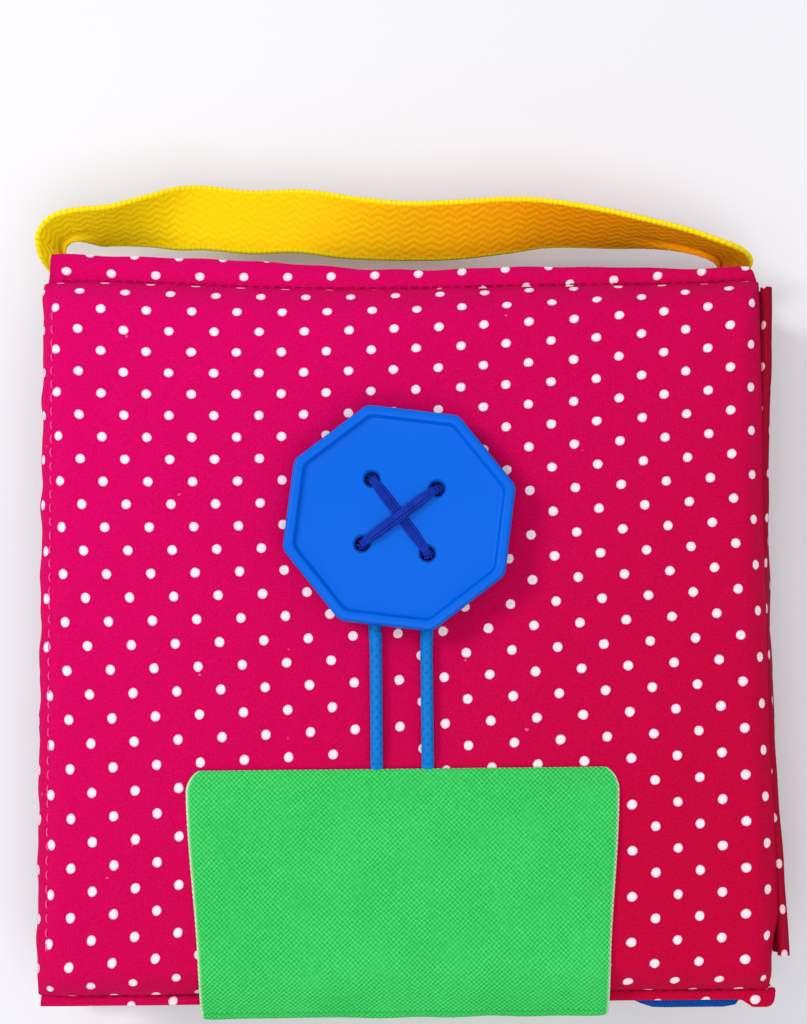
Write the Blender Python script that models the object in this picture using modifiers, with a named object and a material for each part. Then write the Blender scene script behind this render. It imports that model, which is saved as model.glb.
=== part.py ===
"""Folding fabric busy board, closed and lying on its back cover.

Two padded covers are joined by a padded spine on the right, so the board opens like a book.
A canvas flap from the back cover's lower edge comes up over the front cover, and its elastic
loop hooks round the threads under a large octagonal button. A webbing handle is sewn to the
back cover's upper edge. Inside are a lacing, a snap tab, a belt with a slider and a
side-release buckle.

Units are metres. +X runs to the spine, +Y to the handle and +Z up through the closed board.
The origin is the middle of the back cover's outer face.
"""

from math import asin, cos, pi, radians, sin, sqrt

import bmesh
import bpy
from mathutils import Vector

# Covers
board_width = 0.162
board_height = 0.165
cover_depth = 0.009
inner_space = 0.018
cloth = 0.001
fit_gap = 0.0003
front_crown = 0.0022
edge_round = 0.007
top_hem = 0.0053
bottom_hem = 0.0033

# Spine
spine_clearance = 0.0021
spine_depth = 0.0026
spine_cloth = 0.0006
spine_hinge_height = 0.0045
spine_top = 0.076
spine_bottom = -0.072
spine_lining_inset = 0.0002

# Closing flap and its elastic
flap_width = 0.0935
flap_taper = 0.001
flap_top = -0.0307
flap_middle = -0.0012
flap_thickness = 0.0015
flap_corner = 0.0035
flap_offset = 0.0004
flap_root_height = 0.0305
hinge_roll = 0.0004
elastic_diameter = 0.003
elastic_spread = 0.0054
elastic_exit_gap = 0.0004
lift_gap = 0.00035

# Front button and its thread
button_across_corners = 0.0516
button_height = 0.005
button_rim_width = 0.0024
button_rim_height = 0.0014
button_edge = 0.0006
button_x = -0.0012
button_y = 0.0235
button_corner_angle = 14.0
hole_circle = 0.0101
hole_angle = 36.0
hole_diameter = 0.0032
thread_diameter = 0.002
thread_bend = 0.0017

# Handle
handle_width = 0.015
webbing_thickness = 0.0014
handle_reach = 0.014
handle_rise = 0.009
handle_tail = 0.014
handle_tail_inset = 0.0005

# Lacing on the back cover's inner face
lacing_x = -0.036
lacing_y = -0.039
lace_panel_spacing = 0.032
lace_panel_width = 0.020
lace_panel_length = 0.046
lace_panel_top = 0.010
lace_panel_foot = 0.003
lace_panel_cloth = 0.0012
lace_tunnel = 0.0033
eyelet_pitch = 0.014
eyelet_bore = 0.0038
eyelet_wall = 0.0007
eyelet_flange = 0.0014
eyelet_flange_height = 0.0007
lace_diameter = 0.0024
lace_bend = 0.0015
lace_hump = 0.0027
lace_hump_run = 0.005
lace_end_run = 0.0055

# Snap tab on the back cover's inner face
snap_hinge_x = 0.0215
snap_y = 0.0
snap_hinge_height = 0.0019
snap_tab_length = 0.0146
snap_tab_width = 0.015
snap_tab_cloth = 0.0014
snap_base_length = 0.006
snap_reach = 0.0082
snap_diameter = 0.010
snap_disc = 0.0012
snap_post_diameter = 0.0032
snap_post_height = 0.0017
snap_fit = 0.00035
snap_socket_height = 0.0018

# Belt with its slider on the front cover's inner face
belt_y = -0.035
belt_width = 0.020
belt_length = 0.136
belt_foot = 0.008
belt_ramp = 0.006
belt_clearance = 0.0028
slider_x = 0.025
slider_length = 0.014
slider_frame = 0.0028
slider_bar = 0.0019
slider_play = 0.0004

# Side-release buckle on the front cover's inner face
buckle_y = 0.035
buckle_x = 0.002
buckle_width = 0.028
buckle_thickness = 0.008
buckle_offset = 0.0005
socket_length = 0.030
socket_wall = 0.0016
socket_cavity = 0.022
window_length = 0.010
window_setback = 0.006
window_height = 0.0036
bar_diameter = 0.003
bar_slot = 0.0036
plug_grip = 0.0066
plug_grip_height = 0.007
plug_frame = 0.014
plug_rail = 0.0026
plug_plate = 0.004
guide_width = 0.004
guide_length = 0.018
guide_height = 0.0026
prong_width = 0.0024
prong_offset = 0.0056
prong_length = 0.015
barb_length = 0.0085
barb_reach = 0.0135
barb_setback = 0.0005
buckle_strap_width = 0.0195
buckle_strap_cloth = 0.0012
buckle_strap_end = 0.066
strap_ramp = 0.006
strap_ramp_gap = 0.002
strap_fold_back = 0.010
small_bevel = 0.0004

overrun = 0.002
tiny = 0.000001

# Levels and edges that follow from the sizes above
half_width = board_width / 2
half_height = board_height / 2
back_page = cover_depth
front_page = cover_depth + inner_space
board_depth = 2 * cover_depth + inner_space
hem_depth = 2 * cloth + fit_gap
pad_rise = cover_depth - hem_depth
body_top = half_height - top_hem
body_bottom = bottom_hem - half_height
spine_hinge_x = half_width + spine_clearance
front_hinge_height = board_depth - spine_hinge_height
button_radius = button_across_corners / 2
button_level = board_depth + front_crown + elastic_diameter + 2 * lift_gap

# Handle stations: share of the half width, of the reach and of the rise, then how far the
# webbing leans back from lying flat and how far it swings out to the side, in degrees
handle_station_shares = [
    (-0.901, 0.00, 0.00, 64, 90), (-0.926, 0.04, 0.16, 66, 80), (-0.968, 0.22, 0.38, 67, 60),
    (-0.998, 0.51, 0.62, 64, 32), (-0.976, 0.75, 0.86, 64, 12), (-0.915, 0.87, 0.98, 64, 2),
    (-0.827, 0.89, 1.00, 64, 0), (-0.711, 0.95, 1.00, 42, 0), (-0.581, 0.98, 1.00, 10, 0),
    (-0.438, 0.90, 1.00, 2, 0), (-0.294, 0.88, 1.00, 6, 0), (-0.150, 0.79, 1.00, 28, 0),
    (0.005, 0.72, 1.00, 40, 0), (0.152, 0.75, 1.00, 41, 0), (0.301, 0.81, 1.00, 47, 0),
    (0.426, 0.82, 1.00, 57, 0), (0.569, 0.74, 1.00, 66, 0), (0.684, 0.66, 1.00, 75, 0),
    (0.798, 0.54, 1.00, 80, 0), (0.882, 0.41, 0.90, 85, -14), (0.922, 0.28, 0.64, 85, -38),
    (0.930, 0.15, 0.37, 85, -63), (0.916, 0.04, 0.15, 85, -81), (0.901, 0.00, 0.00, 85, -90),
]


def material(name, colour, roughness, metallic=0.0):
    """Make one Principled material."""
    made = bpy.data.materials.new(name)
    made.use_nodes = True
    made.diffuse_color = (*colour, 1.0)
    shader = made.node_tree.nodes["Principled BSDF"]
    shader.inputs["Base Color"].default_value = (*colour, 1.0)
    shader.inputs["Roughness"].default_value = roughness
    shader.inputs["Metallic"].default_value = metallic
    return made


def collection(name):
    """Make a collection in the scene."""
    made = bpy.data.collections.new(name)
    bpy.context.scene.collection.children.link(made)
    return made


def object_from_bmesh(name, shape, finish=None):
    """Turn a bmesh into an object of the board."""
    mesh = bpy.data.meshes.new(name)
    closed = all(edge.is_manifold for edge in shape.edges)
    if closed and shape.calc_volume(signed=True) < 0:
        bmesh.ops.reverse_faces(shape, faces=shape.faces)
    shape.to_mesh(mesh)
    shape.free()
    made = bpy.data.objects.new(name, mesh)
    board_parts.objects.link(made)
    if finish:
        mesh.materials.append(finish)
    return made


def helper(thing):
    """Move an object to the cutters' collection and hide it."""
    board_parts.objects.unlink(thing)
    cutters.objects.link(thing)
    thing.hide_render = True
    thing.display_type = "WIRE"
    return thing


def pivot(name, place, parent=None):
    """Put an empty on a joint's axis, for the pieces that turn or slide with it."""
    made = bpy.data.objects.new(name, None)
    board_parts.objects.link(made)
    made.parent = parent
    made.location = place - parent_place(parent)
    return made


def parent_place(parent):
    """World place of an empty, whose chain is never turned at rest."""
    place = Vector()
    while parent:
        place += parent.location
        parent = parent.parent
    return place


def attach(thing, parent):
    """Parent a piece to a pivot and keep it where it is."""
    thing.parent = parent
    shift = parent_place(parent)
    for vertex in thing.data.vertices:
        vertex.co -= shift
    return thing


def box(name, low, high, finish=None, bevel=0.0):
    """Make a box between two corners, with softened edges where it has a bevel."""
    shape = bmesh.new()
    bmesh.ops.create_cube(shape, size=1.0)
    for vertex in shape.verts:
        share = vertex.co + Vector((0.5, 0.5, 0.5))
        vertex.co = Vector(a + (b - a) * s for a, b, s in zip(low, high, share))
    made = object_from_bmesh(name, shape, finish)
    if bevel:
        round_edges(made, bevel)
    return made


def round_edges(thing, width, segments=2):
    """Give a piece a Bevel modifier."""
    bevel = thing.modifiers.new("edges", "BEVEL")
    bevel.width = width
    bevel.segments = segments
    bevel.limit_method = "ANGLE"
    bevel.angle_limit = radians(35)


def cylinder(name, centre, radius, height, finish=None, segments=24, turn=0.0):
    """Make an upright cylinder or prism from its lower centre."""
    shape = bmesh.new()
    bmesh.ops.create_cone(
        shape, cap_ends=True, segments=segments, radius1=radius, radius2=radius, depth=height
    )
    swing = turn - 90.0
    for vertex in shape.verts:
        x, y, z = vertex.co
        angle = radians(swing)
        vertex.co = Vector((
            centre[0] + x * cos(angle) - y * sin(angle),
            centre[1] + x * sin(angle) + y * cos(angle),
            centre[2] + z + height / 2,
        ))
    return object_from_bmesh(name, shape, finish)


def cross_bar(name, centre, radius, length):
    """Make a round bar along Y."""
    shape = bmesh.new()
    bmesh.ops.create_cone(
        shape, cap_ends=True, segments=16, radius1=radius, radius2=radius, depth=length
    )
    for vertex in shape.verts:
        x, y, z = vertex.co
        vertex.co = Vector((centre[0] + x, centre[1] + z, centre[2] - y))
    return object_from_bmesh(name, shape)


def combine(thing, other, operation):
    """Apply a Boolean with another piece as a modifier."""
    boolean = thing.modifiers.new(operation.lower(), "BOOLEAN")
    boolean.operation = operation
    boolean.solver = "EXACT"
    boolean.object = helper(other)


def smooth(thing, angle=40.0):
    """Shade a round piece smooth and keep its sharp edges."""
    thing.data.shade_smooth()
    thing.data.set_sharp_from_angle(angle=radians(angle))
    return thing


def field(name, columns, rows, top, bottom, finish):
    """Make a closed sheet over a grid of places, between two height functions.

    columns gives the X places for a row's Y, so a row can be shorter than the next one.
    """
    shape = bmesh.new()
    across = len(columns(rows[0])) - 1
    along = len(rows) - 1
    bmesh.ops.create_grid(shape, x_segments=across, y_segments=along, size=0.5)
    for vertex in shape.verts:
        i = round((vertex.co.x + 0.5) * across)
        j = round((vertex.co.y + 0.5) * along)
        x = columns(rows[j])[i]
        y = rows[j]
        vertex.co = Vector((x, y, bottom(x, y)))
    lifted = bmesh.ops.extrude_face_region(shape, geom=shape.faces[:])
    for vertex in lifted["geom"]:
        if isinstance(vertex, bmesh.types.BMVert):
            vertex.co.z = top(vertex.co.x, vertex.co.y)
    return smooth(object_from_bmesh(name, shape, finish))


def strip(name, path, low, high, thickness, finish):
    """Make a strip of cloth or webbing: a path in X and Z, swept along Y and thickened."""
    shape = bmesh.new()
    bmesh.ops.create_grid(shape, x_segments=len(path) - 1, y_segments=1, size=0.5)
    for vertex in shape.verts:
        x, z = path[round((vertex.co.x + 0.5) * (len(path) - 1))]
        vertex.co = Vector((x, high if vertex.co.y > 0 else low, z))
    made = object_from_bmesh(name, shape, finish)
    thicken(made, thickness)
    return smooth(made)


def thicken(thing, thickness):
    """Thicken a surface evenly to both sides."""
    solid = thing.modifiers.new("thickness", "SOLIDIFY")
    solid.thickness = thickness
    solid.offset = 0.0
    solid.use_even_offset = True


def tube(name, points, diameter, finish, resolution=2):
    """Make a round cord along a list of points."""
    curve = bpy.data.curves.new(name, "CURVE")
    curve.dimensions = "3D"
    curve.bevel_depth = diameter / 2
    curve.bevel_resolution = resolution
    curve.use_fill_caps = True
    curve.materials.append(finish)
    spline = curve.splines.new("POLY")
    spline.points.add(len(points) - 1)
    for knot, place in zip(spline.points, points):
        knot.co = (*place, 1.0)
    made = bpy.data.objects.new(name, curve)
    board_parts.objects.link(made)
    return made


def tube_mesh(made, parent):
    """Turn a cord into a mesh with welded caps and parent it to a pivot."""
    bpy.context.view_layer.update()
    evaluated = made.evaluated_get(bpy.context.evaluated_depsgraph_get())
    mesh = bpy.data.meshes.new_from_object(evaluated)
    shape = bmesh.new()
    shape.from_mesh(mesh)
    bmesh.ops.remove_doubles(shape, verts=shape.verts, dist=tiny)
    shape.to_mesh(mesh)
    shape.free()
    solid = bpy.data.objects.new(made.name + "_solid", mesh)
    solid.matrix_world = made.matrix_world
    board_parts.objects.link(solid)
    name = made.name
    bpy.data.objects.remove(made)
    solid.name = name
    return smooth(attach(solid, parent))


def rounded(points, radius, steps=4):
    """Round the corners of a path with arcs."""
    places = [Vector(p) for p in points]
    path = [places[0]]
    for before, corner, after in zip(places, places[1:], places[2:]):
        back = (before - corner).normalized()
        ahead = (after - corner).normalized()
        turn = pi - back.angle(ahead)
        if turn < radians(1):
            path.append(corner)
            continue
        cut = radius * sin(turn / 2) / cos(turn / 2)
        inward = (back + ahead).normalized()
        centre = corner + inward * sqrt(radius * radius + cut * cut)
        first = corner + back * cut - centre
        second = corner + ahead * cut - centre
        for step in range(steps + 1):
            share = step / steps
            arm = first * sin((1 - share) * turn) + second * sin(share * turn)
            path.append(centre + arm / sin(turn))
    path.append(places[-1])
    return path


def spline_points(points, steps=4):
    """Read a smooth curve through a list of points."""
    places = [Vector(p) for p in points]
    padded = [2 * places[0] - places[1], *places, 2 * places[-1] - places[-2]]
    path = []
    for a, b, c, d in zip(padded, padded[1:], padded[2:], padded[3:]):
        for step in range(steps):
            t = step / steps
            path.append(
                (2 * b + (c - a) * t + (2 * a - 5 * b + 4 * c - d) * t**2
                 + (3 * b - a - 3 * c + d) * t**3) / 2
            )
    path.append(places[-1])
    return path


def roll(distance):
    """Share of the padding's height at a distance in from its edge."""
    share = min(max(distance / edge_round, 0.0), 1.0)
    return sqrt(1 - (1 - share) ** 2)


def padding(x, y):
    """Share of a cover's padding that stands at a place."""
    inside = min(body_top - y, y - body_bottom)
    return roll(half_width - abs(x)) * roll(inside)


def crown(x, y):
    """How far the front cover's middle swells at a place."""
    return front_crown * (1 - (x / half_width) ** 2) * (1 - (y / half_height) ** 2) * padding(x, y)


def front_surface(x, y):
    """Height of the front cover's outer cloth."""
    return front_page + hem_depth + pad_rise * padding(x, y) + crown(x, y)


def edge_places(low, high, inner_steps):
    """Places across a padded body: close together on the rolled edges, even between them."""
    rolled = [edge_round * (1 - cos(radians(angle))) for angle in (0, 30, 60, 90)]
    start = low + edge_round
    step = (high - low - 2 * edge_round) / inner_steps
    middle = [start + step * index for index in range(1, inner_steps)]
    return [low + r for r in rolled] + middle + [high - r for r in reversed(rolled)]


def cover(side, parent):
    """Make one cover: its outer cloth, its foam and its lining."""
    front = side == "front"
    columns = edge_places(-half_width, half_width, 7)
    body_rows = edge_places(body_bottom, body_top, 7)
    rows = [-half_height, *body_rows, half_height]

    def back_surface(x, y):
        return pad_rise * (1 - padding(x, y))

    outer = front_surface if front else back_surface
    inward = -1 if front else 1
    page = front_page if front else back_page
    lining_outer = page - inward * cloth
    foam_base = lining_outer - inward * fit_gap

    def cloth_inner(x, y):
        return outer(x, y) + inward * cloth

    def foam_outer(x, y):
        return cloth_inner(x, y) + inward * fit_gap

    faces = (outer, cloth_inner) if front else (cloth_inner, outer)
    fabric = field(f"{side}_cover_fabric", lambda y: columns, rows, *faces, dotted_cloth)
    faces = (foam_outer, lambda x, y: foam_base)
    if not front:
        faces = faces[::-1]
    foam = field(f"{side}_cover_foam", lambda y: columns[1:-1], body_rows[1:-1], *faces, foam_white)
    levels = sorted((page, lining_outer))
    lining = box(
        f"{side}_cover_lining",
        (-half_width, -half_height, levels[0]),
        (half_width, half_height, levels[1]),
        blue_canvas,
    )
    if parent:
        for piece in (fabric, foam, lining):
            attach(piece, parent)


def spine(parent):
    """Make the spine: a bent outer cloth, a foam strip and a lining strip."""
    radius = spine_depth / 2
    middle = half_width + fit_gap + radius
    low = spine_hinge_height + cloth
    high = front_hinge_height - cloth
    skin = radius - spine_cloth / 2
    path = []
    for angle in range(-150, 1, 15):
        path.append((middle + skin * cos(radians(angle)), low + skin * sin(radians(angle))))
    for angle in range(0, 151, 15):
        path.append((middle + skin * cos(radians(angle)), high + skin * sin(radians(angle))))
    fabric = strip("spine_fabric", path, spine_bottom, spine_top, spine_cloth, shaded_cloth)
    inner = radius - spine_cloth - fit_gap
    foam = box(
        "spine_foam",
        (middle - inner, spine_bottom + spine_cloth, low),
        (middle + inner, spine_top - spine_cloth, high),
        foam_white,
    )
    lining = box(
        "spine_lining",
        (middle - radius, spine_bottom, low + spine_lining_inset),
        (middle - radius + spine_cloth, spine_top, high - spine_lining_inset),
        blue_canvas,
    )
    for piece in (fabric, foam, lining):
        attach(piece, parent)


def flap(base, tongue):
    """Make the flap: its upright base, its front and its elastic loop."""
    edge = -half_height - flap_offset
    half = flap_width / 2
    root = edge - flap_thickness / 2
    upright = box(
        "flap_base",
        (flap_middle - half + flap_taper, edge - flap_thickness, flap_low_hinge + hinge_roll),
        (flap_middle + half - flap_taper, edge, flap_root_height - hinge_roll),
        green_canvas,
        flap_thickness / 4,
    )
    attach(upright, base)

    shoulder = body_bottom + edge_round
    start = root + hinge_roll
    rows = [start + (shoulder - start) * index / 5 for index in range(5)]
    straight = flap_top - flap_corner
    rows += [shoulder + (straight - shoulder) * index / 5 for index in range(6)]
    rows += [straight + flap_corner * sin(radians(angle)) for angle in (25, 50, 70, 90)]

    def half_at(y):
        share = (y - start) / (flap_top - start)
        width = half - flap_taper * (1 - share)
        if y > straight:
            rise = min((y - straight) / flap_corner, 1.0)
            width -= flap_corner * (1 - cos(asin(rise)))
        return width

    def columns(y):
        return [flap_middle + half_at(y) * index / 4 for index in range(-4, 5)]

    def under(x, y):
        if y >= shoulder:
            return front_surface(x, y) + flap_offset
        ease = sin(pi / 2 * (y - start) / (shoulder - start))
        return flap_root_height + (front_surface(x, shoulder) + flap_offset - flap_root_height) * ease

    def over(x, y):
        return under(x, y) + flap_thickness

    attach(field("flap_front", columns, rows, over, under, green_canvas), tongue)

    ring = hole_circle + thread_diameter / 2 + elastic_diameter / 2 + lift_gap
    route = [
        (elastic_spread, flap_top + elastic_exit_gap),
        (elastic_spread, (flap_top + button_y) / 4),
    ]
    leave = -50
    tangent_x = ring * cos(radians(leave))
    tangent_y = button_y + ring * sin(radians(leave))
    neck_y = button_y - button_radius
    route.append((elastic_spread, neck_y - elastic_diameter))
    route.append(((elastic_spread * 3 + tangent_x) / 4, (neck_y + tangent_y) / 2))
    arc = []
    for index in range(13):
        angle = radians(leave + (180 - 2 * leave) * index / 12)
        arc.append((ring * cos(angle), button_y + ring * sin(angle)))
    mirrored = [(-x, y) for x, y in reversed(route)]
    flat = [(button_x + x, y) for x, y in [*route, *arc, *mirrored]]
    lift = lift_gap + elastic_diameter / 2
    places = [(x, y, front_surface(x, y) + lift) for x, y in flat]
    tube_mesh(tube("elastic_loop", spline_points(places, 3), elastic_diameter, elastic_blue, 1), tongue)


def button(parent):
    """Make the octagonal button and the two threads that cross on it."""
    plate = cylinder(
        "button", (button_x, button_y, button_level), button_radius, button_height,
        button_blue, 8, button_corner_angle,
    )
    recess = cylinder(
        "button_recess",
        (button_x, button_y, button_level + button_height - button_rim_height),
        button_radius - button_rim_width / cos(pi / 8), button_height, None, 8, button_corner_angle,
    )
    combine(plate, recess, "DIFFERENCE")
    centres = []
    for index in range(4):
        angle = radians(hole_angle + 90 * index)
        centres.append((button_x + hole_circle * cos(angle), button_y + hole_circle * sin(angle)))
    for index, (x, y) in enumerate(centres):
        hole = cylinder(
            f"button_hole_{index + 1}", (x, y, button_level - overrun), hole_diameter / 2,
            button_height + 2 * overrun, None, 16,
        )
        combine(plate, hole, "DIFFERENCE")
    round_edges(plate, button_edge)
    attach(plate, parent)

    floor = button_level + button_height - button_rim_height
    lie = floor + lift_gap + thread_diameter / 2
    hump = thread_diameter + lift_gap
    for name, first, second, lift in (
        ("button_thread_under", centres[1], centres[3], 0.0),
        ("button_thread_over", centres[0], centres[2], hump),
    ):
        a = Vector((*first, 0))
        b = Vector((*second, 0))
        middle = (a + b) / 2
        foot_a = Vector((*first, front_surface(*first) + fit_gap))
        foot_b = Vector((*second, front_surface(*second) + fit_gap))
        points = [foot_a, a + Vector((0, 0, lie))]
        if lift:
            reach = (b - a).normalized() * thread_diameter * 2
            low = Vector((0, 0, lie))
            high = Vector((0, 0, lie + lift))
            points += [middle - reach + low, middle - reach / 2 + high]
            points += [middle + reach / 2 + high, middle + reach + low]
        points += [b + Vector((0, 0, lie)), foot_b]
        tube_mesh(tube(name, rounded(points, thread_bend, 3), thread_diameter, thread_navy, 2), parent)


def handle(parent):
    """Make the webbing handle and the two ends that are sewn to the back cover."""
    stations = []
    for x, y, z, lean, swing in handle_station_shares:
        centre = Vector((
            x * half_width,
            handle_hinge_y + y * handle_reach,
            handle_hinge_z + z * handle_rise,
        ))
        stations.append((*centre, lean, swing))
    tilts = spline_points([(s[3], s[4], 0) for s in stations], 2)
    centres = spline_points([s[:3] for s in stations], 2)
    shape = bmesh.new()
    last = len(centres) - 1
    bmesh.ops.create_grid(shape, x_segments=last, y_segments=2, size=0.5)
    for vertex in shape.verts:
        index = round((vertex.co.x + 0.5) * last)
        lean = radians(tilts[index].x)
        swing = radians(tilts[index].y)
        side = Vector((-sin(swing), cos(swing) * cos(lean), cos(swing) * sin(lean)))
        vertex.co = centres[index] + side * (vertex.co.y * handle_width)
    strap = object_from_bmesh("handle_strap", shape, yellow_webbing)
    thicken(strap, webbing_thickness)
    strap.modifiers["thickness"].use_even_offset = False
    attach(smooth(strap), parent)

    outer = half_width - handle_tail_inset
    for name, left in (
        ("handle_end_left", -outer),
        ("handle_end_right", outer - handle_width),
    ):
        low = (left, half_height - handle_tail, back_page + fit_gap)
        high = (left + handle_width, half_height, back_page + fit_gap + webbing_thickness)
        box(name, low, high, yellow_webbing, small_bevel)


def lacing():
    """Make the two lacing panels, their eyelets and the lace."""
    base = back_page + fit_gap
    level = base + lace_tunnel + lace_panel_cloth / 2
    foot = base + lace_panel_cloth / 2
    half = lace_panel_width / 2
    flat = lace_panel_top / 2
    low = lacing_y - lace_panel_length / 2
    high = lacing_y + lace_panel_length / 2
    panel_top = level + lace_panel_cloth / 2
    rows = [lacing_y + eyelet_pitch * index for index in (-1, 0, 1)]
    barrel = eyelet_bore / 2 + eyelet_wall
    sides = (("left", lacing_x - lace_panel_spacing / 2), ("right", lacing_x + lace_panel_spacing / 2))
    for side, x in sides:
        path = [
            (x - half, foot), (x - half + lace_panel_foot, foot), (x - flat, level),
            (x + flat, level), (x + half - lace_panel_foot, foot), (x + half, foot),
        ]
        panel = strip(f"lace_panel_{side}", path, low, high, lace_panel_cloth, green_canvas)
        for index, y in enumerate(rows):
            hole = cylinder(
                f"lace_hole_{side}_{index + 1}", (x, y, base), barrel + fit_gap,
                lace_tunnel + lace_panel_cloth + overrun, None, 20,
            )
            combine(panel, hole, "DIFFERENCE")
            eyelet(f"eyelet_{side}_{index + 1}", (x, y), base + lace_tunnel, panel_top + fit_gap)

    left = sides[0][1]
    right = sides[1][1]
    above = panel_top + fit_gap + eyelet_flange_height + fit_gap + lace_diameter / 2
    beneath = base + fit_gap + lace_diameter / 2
    bottom, middle, top = rows
    end = top + lace_end_run
    centre_y = (middle + top) / 2
    run = Vector((right - left, top - middle, 0)).normalized()
    crossing = Vector((lacing_x, centre_y, above))
    up = Vector((0, 0, lace_hump))
    rise = Vector((-run.x, run.y, 0)) * lace_hump_run
    points = [
        (right, end, beneath), (right, top, beneath), (right, top, above),
        (left, middle, above), (left, middle, beneath), (left, bottom, beneath),
        (left, bottom, above), (right, bottom, above), (right, bottom, beneath),
        (right, middle, beneath), (right, middle, above),
        crossing - rise, crossing - rise / 2 + up, crossing + rise / 2 + up, crossing + rise,
        (left, top, above), (left, top, beneath), (left, end, beneath),
    ]
    tube("lace", rounded(points, lace_bend, 3), lace_diameter, lace_white, 2)


def eyelet(name, centre, low, seat):
    """Turn one eyelet: a barrel with a flange on top."""
    bore = eyelet_bore / 2
    barrel = bore + eyelet_wall
    rim = barrel + eyelet_flange
    top = seat + eyelet_flange_height
    soft = eyelet_flange_height / 3
    profile = [
        (barrel, low), (bore, low), (bore, top - soft), (bore + soft, top),
        (rim - soft, top), (rim, top - soft), (rim, seat), (barrel, seat),
    ]
    shape = bmesh.new()
    knots = [shape.verts.new((r, 0, z)) for r, z in profile]
    for first, second in zip(knots, knots[1:] + knots[:1]):
        shape.edges.new((first, second))
    made = object_from_bmesh(name, shape, steel)
    made.location = (*centre, 0)
    turn = made.modifiers.new("turn", "SCREW")
    turn.angle = radians(360)
    turn.steps = 20
    turn.render_steps = 20
    turn.use_merge_vertices = True
    turn.merge_threshold = tiny
    return made


def snap(parent):
    """Make the snap's stud and sewn base on the page, and the tab with its socket."""
    page = back_page + fit_gap
    half = snap_tab_width / 2
    centre_x = snap_hinge_x + snap_reach
    stud = cylinder("snap_stud", (centre_x, snap_y, page), snap_diameter / 2, snap_disc, steel, 28)
    post = cylinder(
        "snap_stud_post", (centre_x, snap_y, page + snap_disc / 2), snap_post_diameter / 2,
        snap_disc / 2 + snap_post_height, None, 20,
    )
    combine(stud, post, "UNION")
    smooth(stud)
    socket_low = page + snap_disc + fit_gap
    socket = cylinder(
        "snap_socket", (centre_x, snap_y, socket_low), snap_diameter / 2, snap_socket_height, steel, 28
    )
    bore = cylinder(
        "snap_socket_bore", (centre_x, snap_y, socket_low - overrun),
        snap_post_diameter / 2 + snap_fit, overrun + snap_post_height + snap_fit / 2, None, 20,
    )
    combine(socket, bore, "DIFFERENCE")
    attach(smooth(socket), parent)
    level = socket_low + snap_socket_height + fit_gap + snap_tab_cloth / 2
    hinge = back_page + snap_hinge_height
    root = snap_hinge_x + snap_tab_cloth / 2
    slope_end = centre_x - snap_diameter / 2 - fit_gap
    path = [(root, hinge), (slope_end, level), (snap_hinge_x + snap_tab_length, level)]
    tab = strip("snap_tab", path, snap_y - half, snap_y + half, snap_tab_cloth, red_webbing)
    attach(tab, parent)
    box(
        "snap_tab_base",
        (snap_hinge_x - snap_base_length, snap_y - half, page),
        (snap_hinge_x - fit_gap, snap_y + half, page + snap_tab_cloth),
        red_webbing, small_bevel,
    )


def belt(cover_pivot, slide_pivot):
    """Make the belt, sewn at both ends, and the slider that runs on it."""
    page = front_page - fit_gap
    half = belt_length / 2
    low_level = page - webbing_thickness / 2
    run_level = page - belt_clearance - webbing_thickness / 2
    path = [
        (-half, low_level), (belt_foot - half, low_level), (belt_foot + belt_ramp - half, run_level),
        (half - belt_foot - belt_ramp, run_level), (half - belt_foot, low_level), (half, low_level),
    ]
    low = belt_y - belt_width / 2
    high = belt_y + belt_width / 2
    attach(strip("belt_strap", path, low, high, webbing_thickness, red_webbing), cover_pivot)
    slot = webbing_thickness / 2 + slider_play
    tall = slot + slider_bar
    wide = belt_width / 2 + slider_play
    frame = box(
        "belt_slider",
        (slider_x - slider_length / 2, belt_y - wide - slider_frame, run_level - tall),
        (slider_x + slider_length / 2, belt_y + wide + slider_frame, run_level + tall),
        black_plastic,
    )
    opening = box(
        "belt_slider_slot",
        (slider_x - slider_length / 2 - overrun, belt_y - wide, run_level - slot),
        (slider_x + slider_length / 2 + overrun, belt_y + wide, run_level + slot),
    )
    combine(frame, opening, "DIFFERENCE")
    round_edges(frame, small_bevel)
    attach(frame, slide_pivot)


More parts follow.
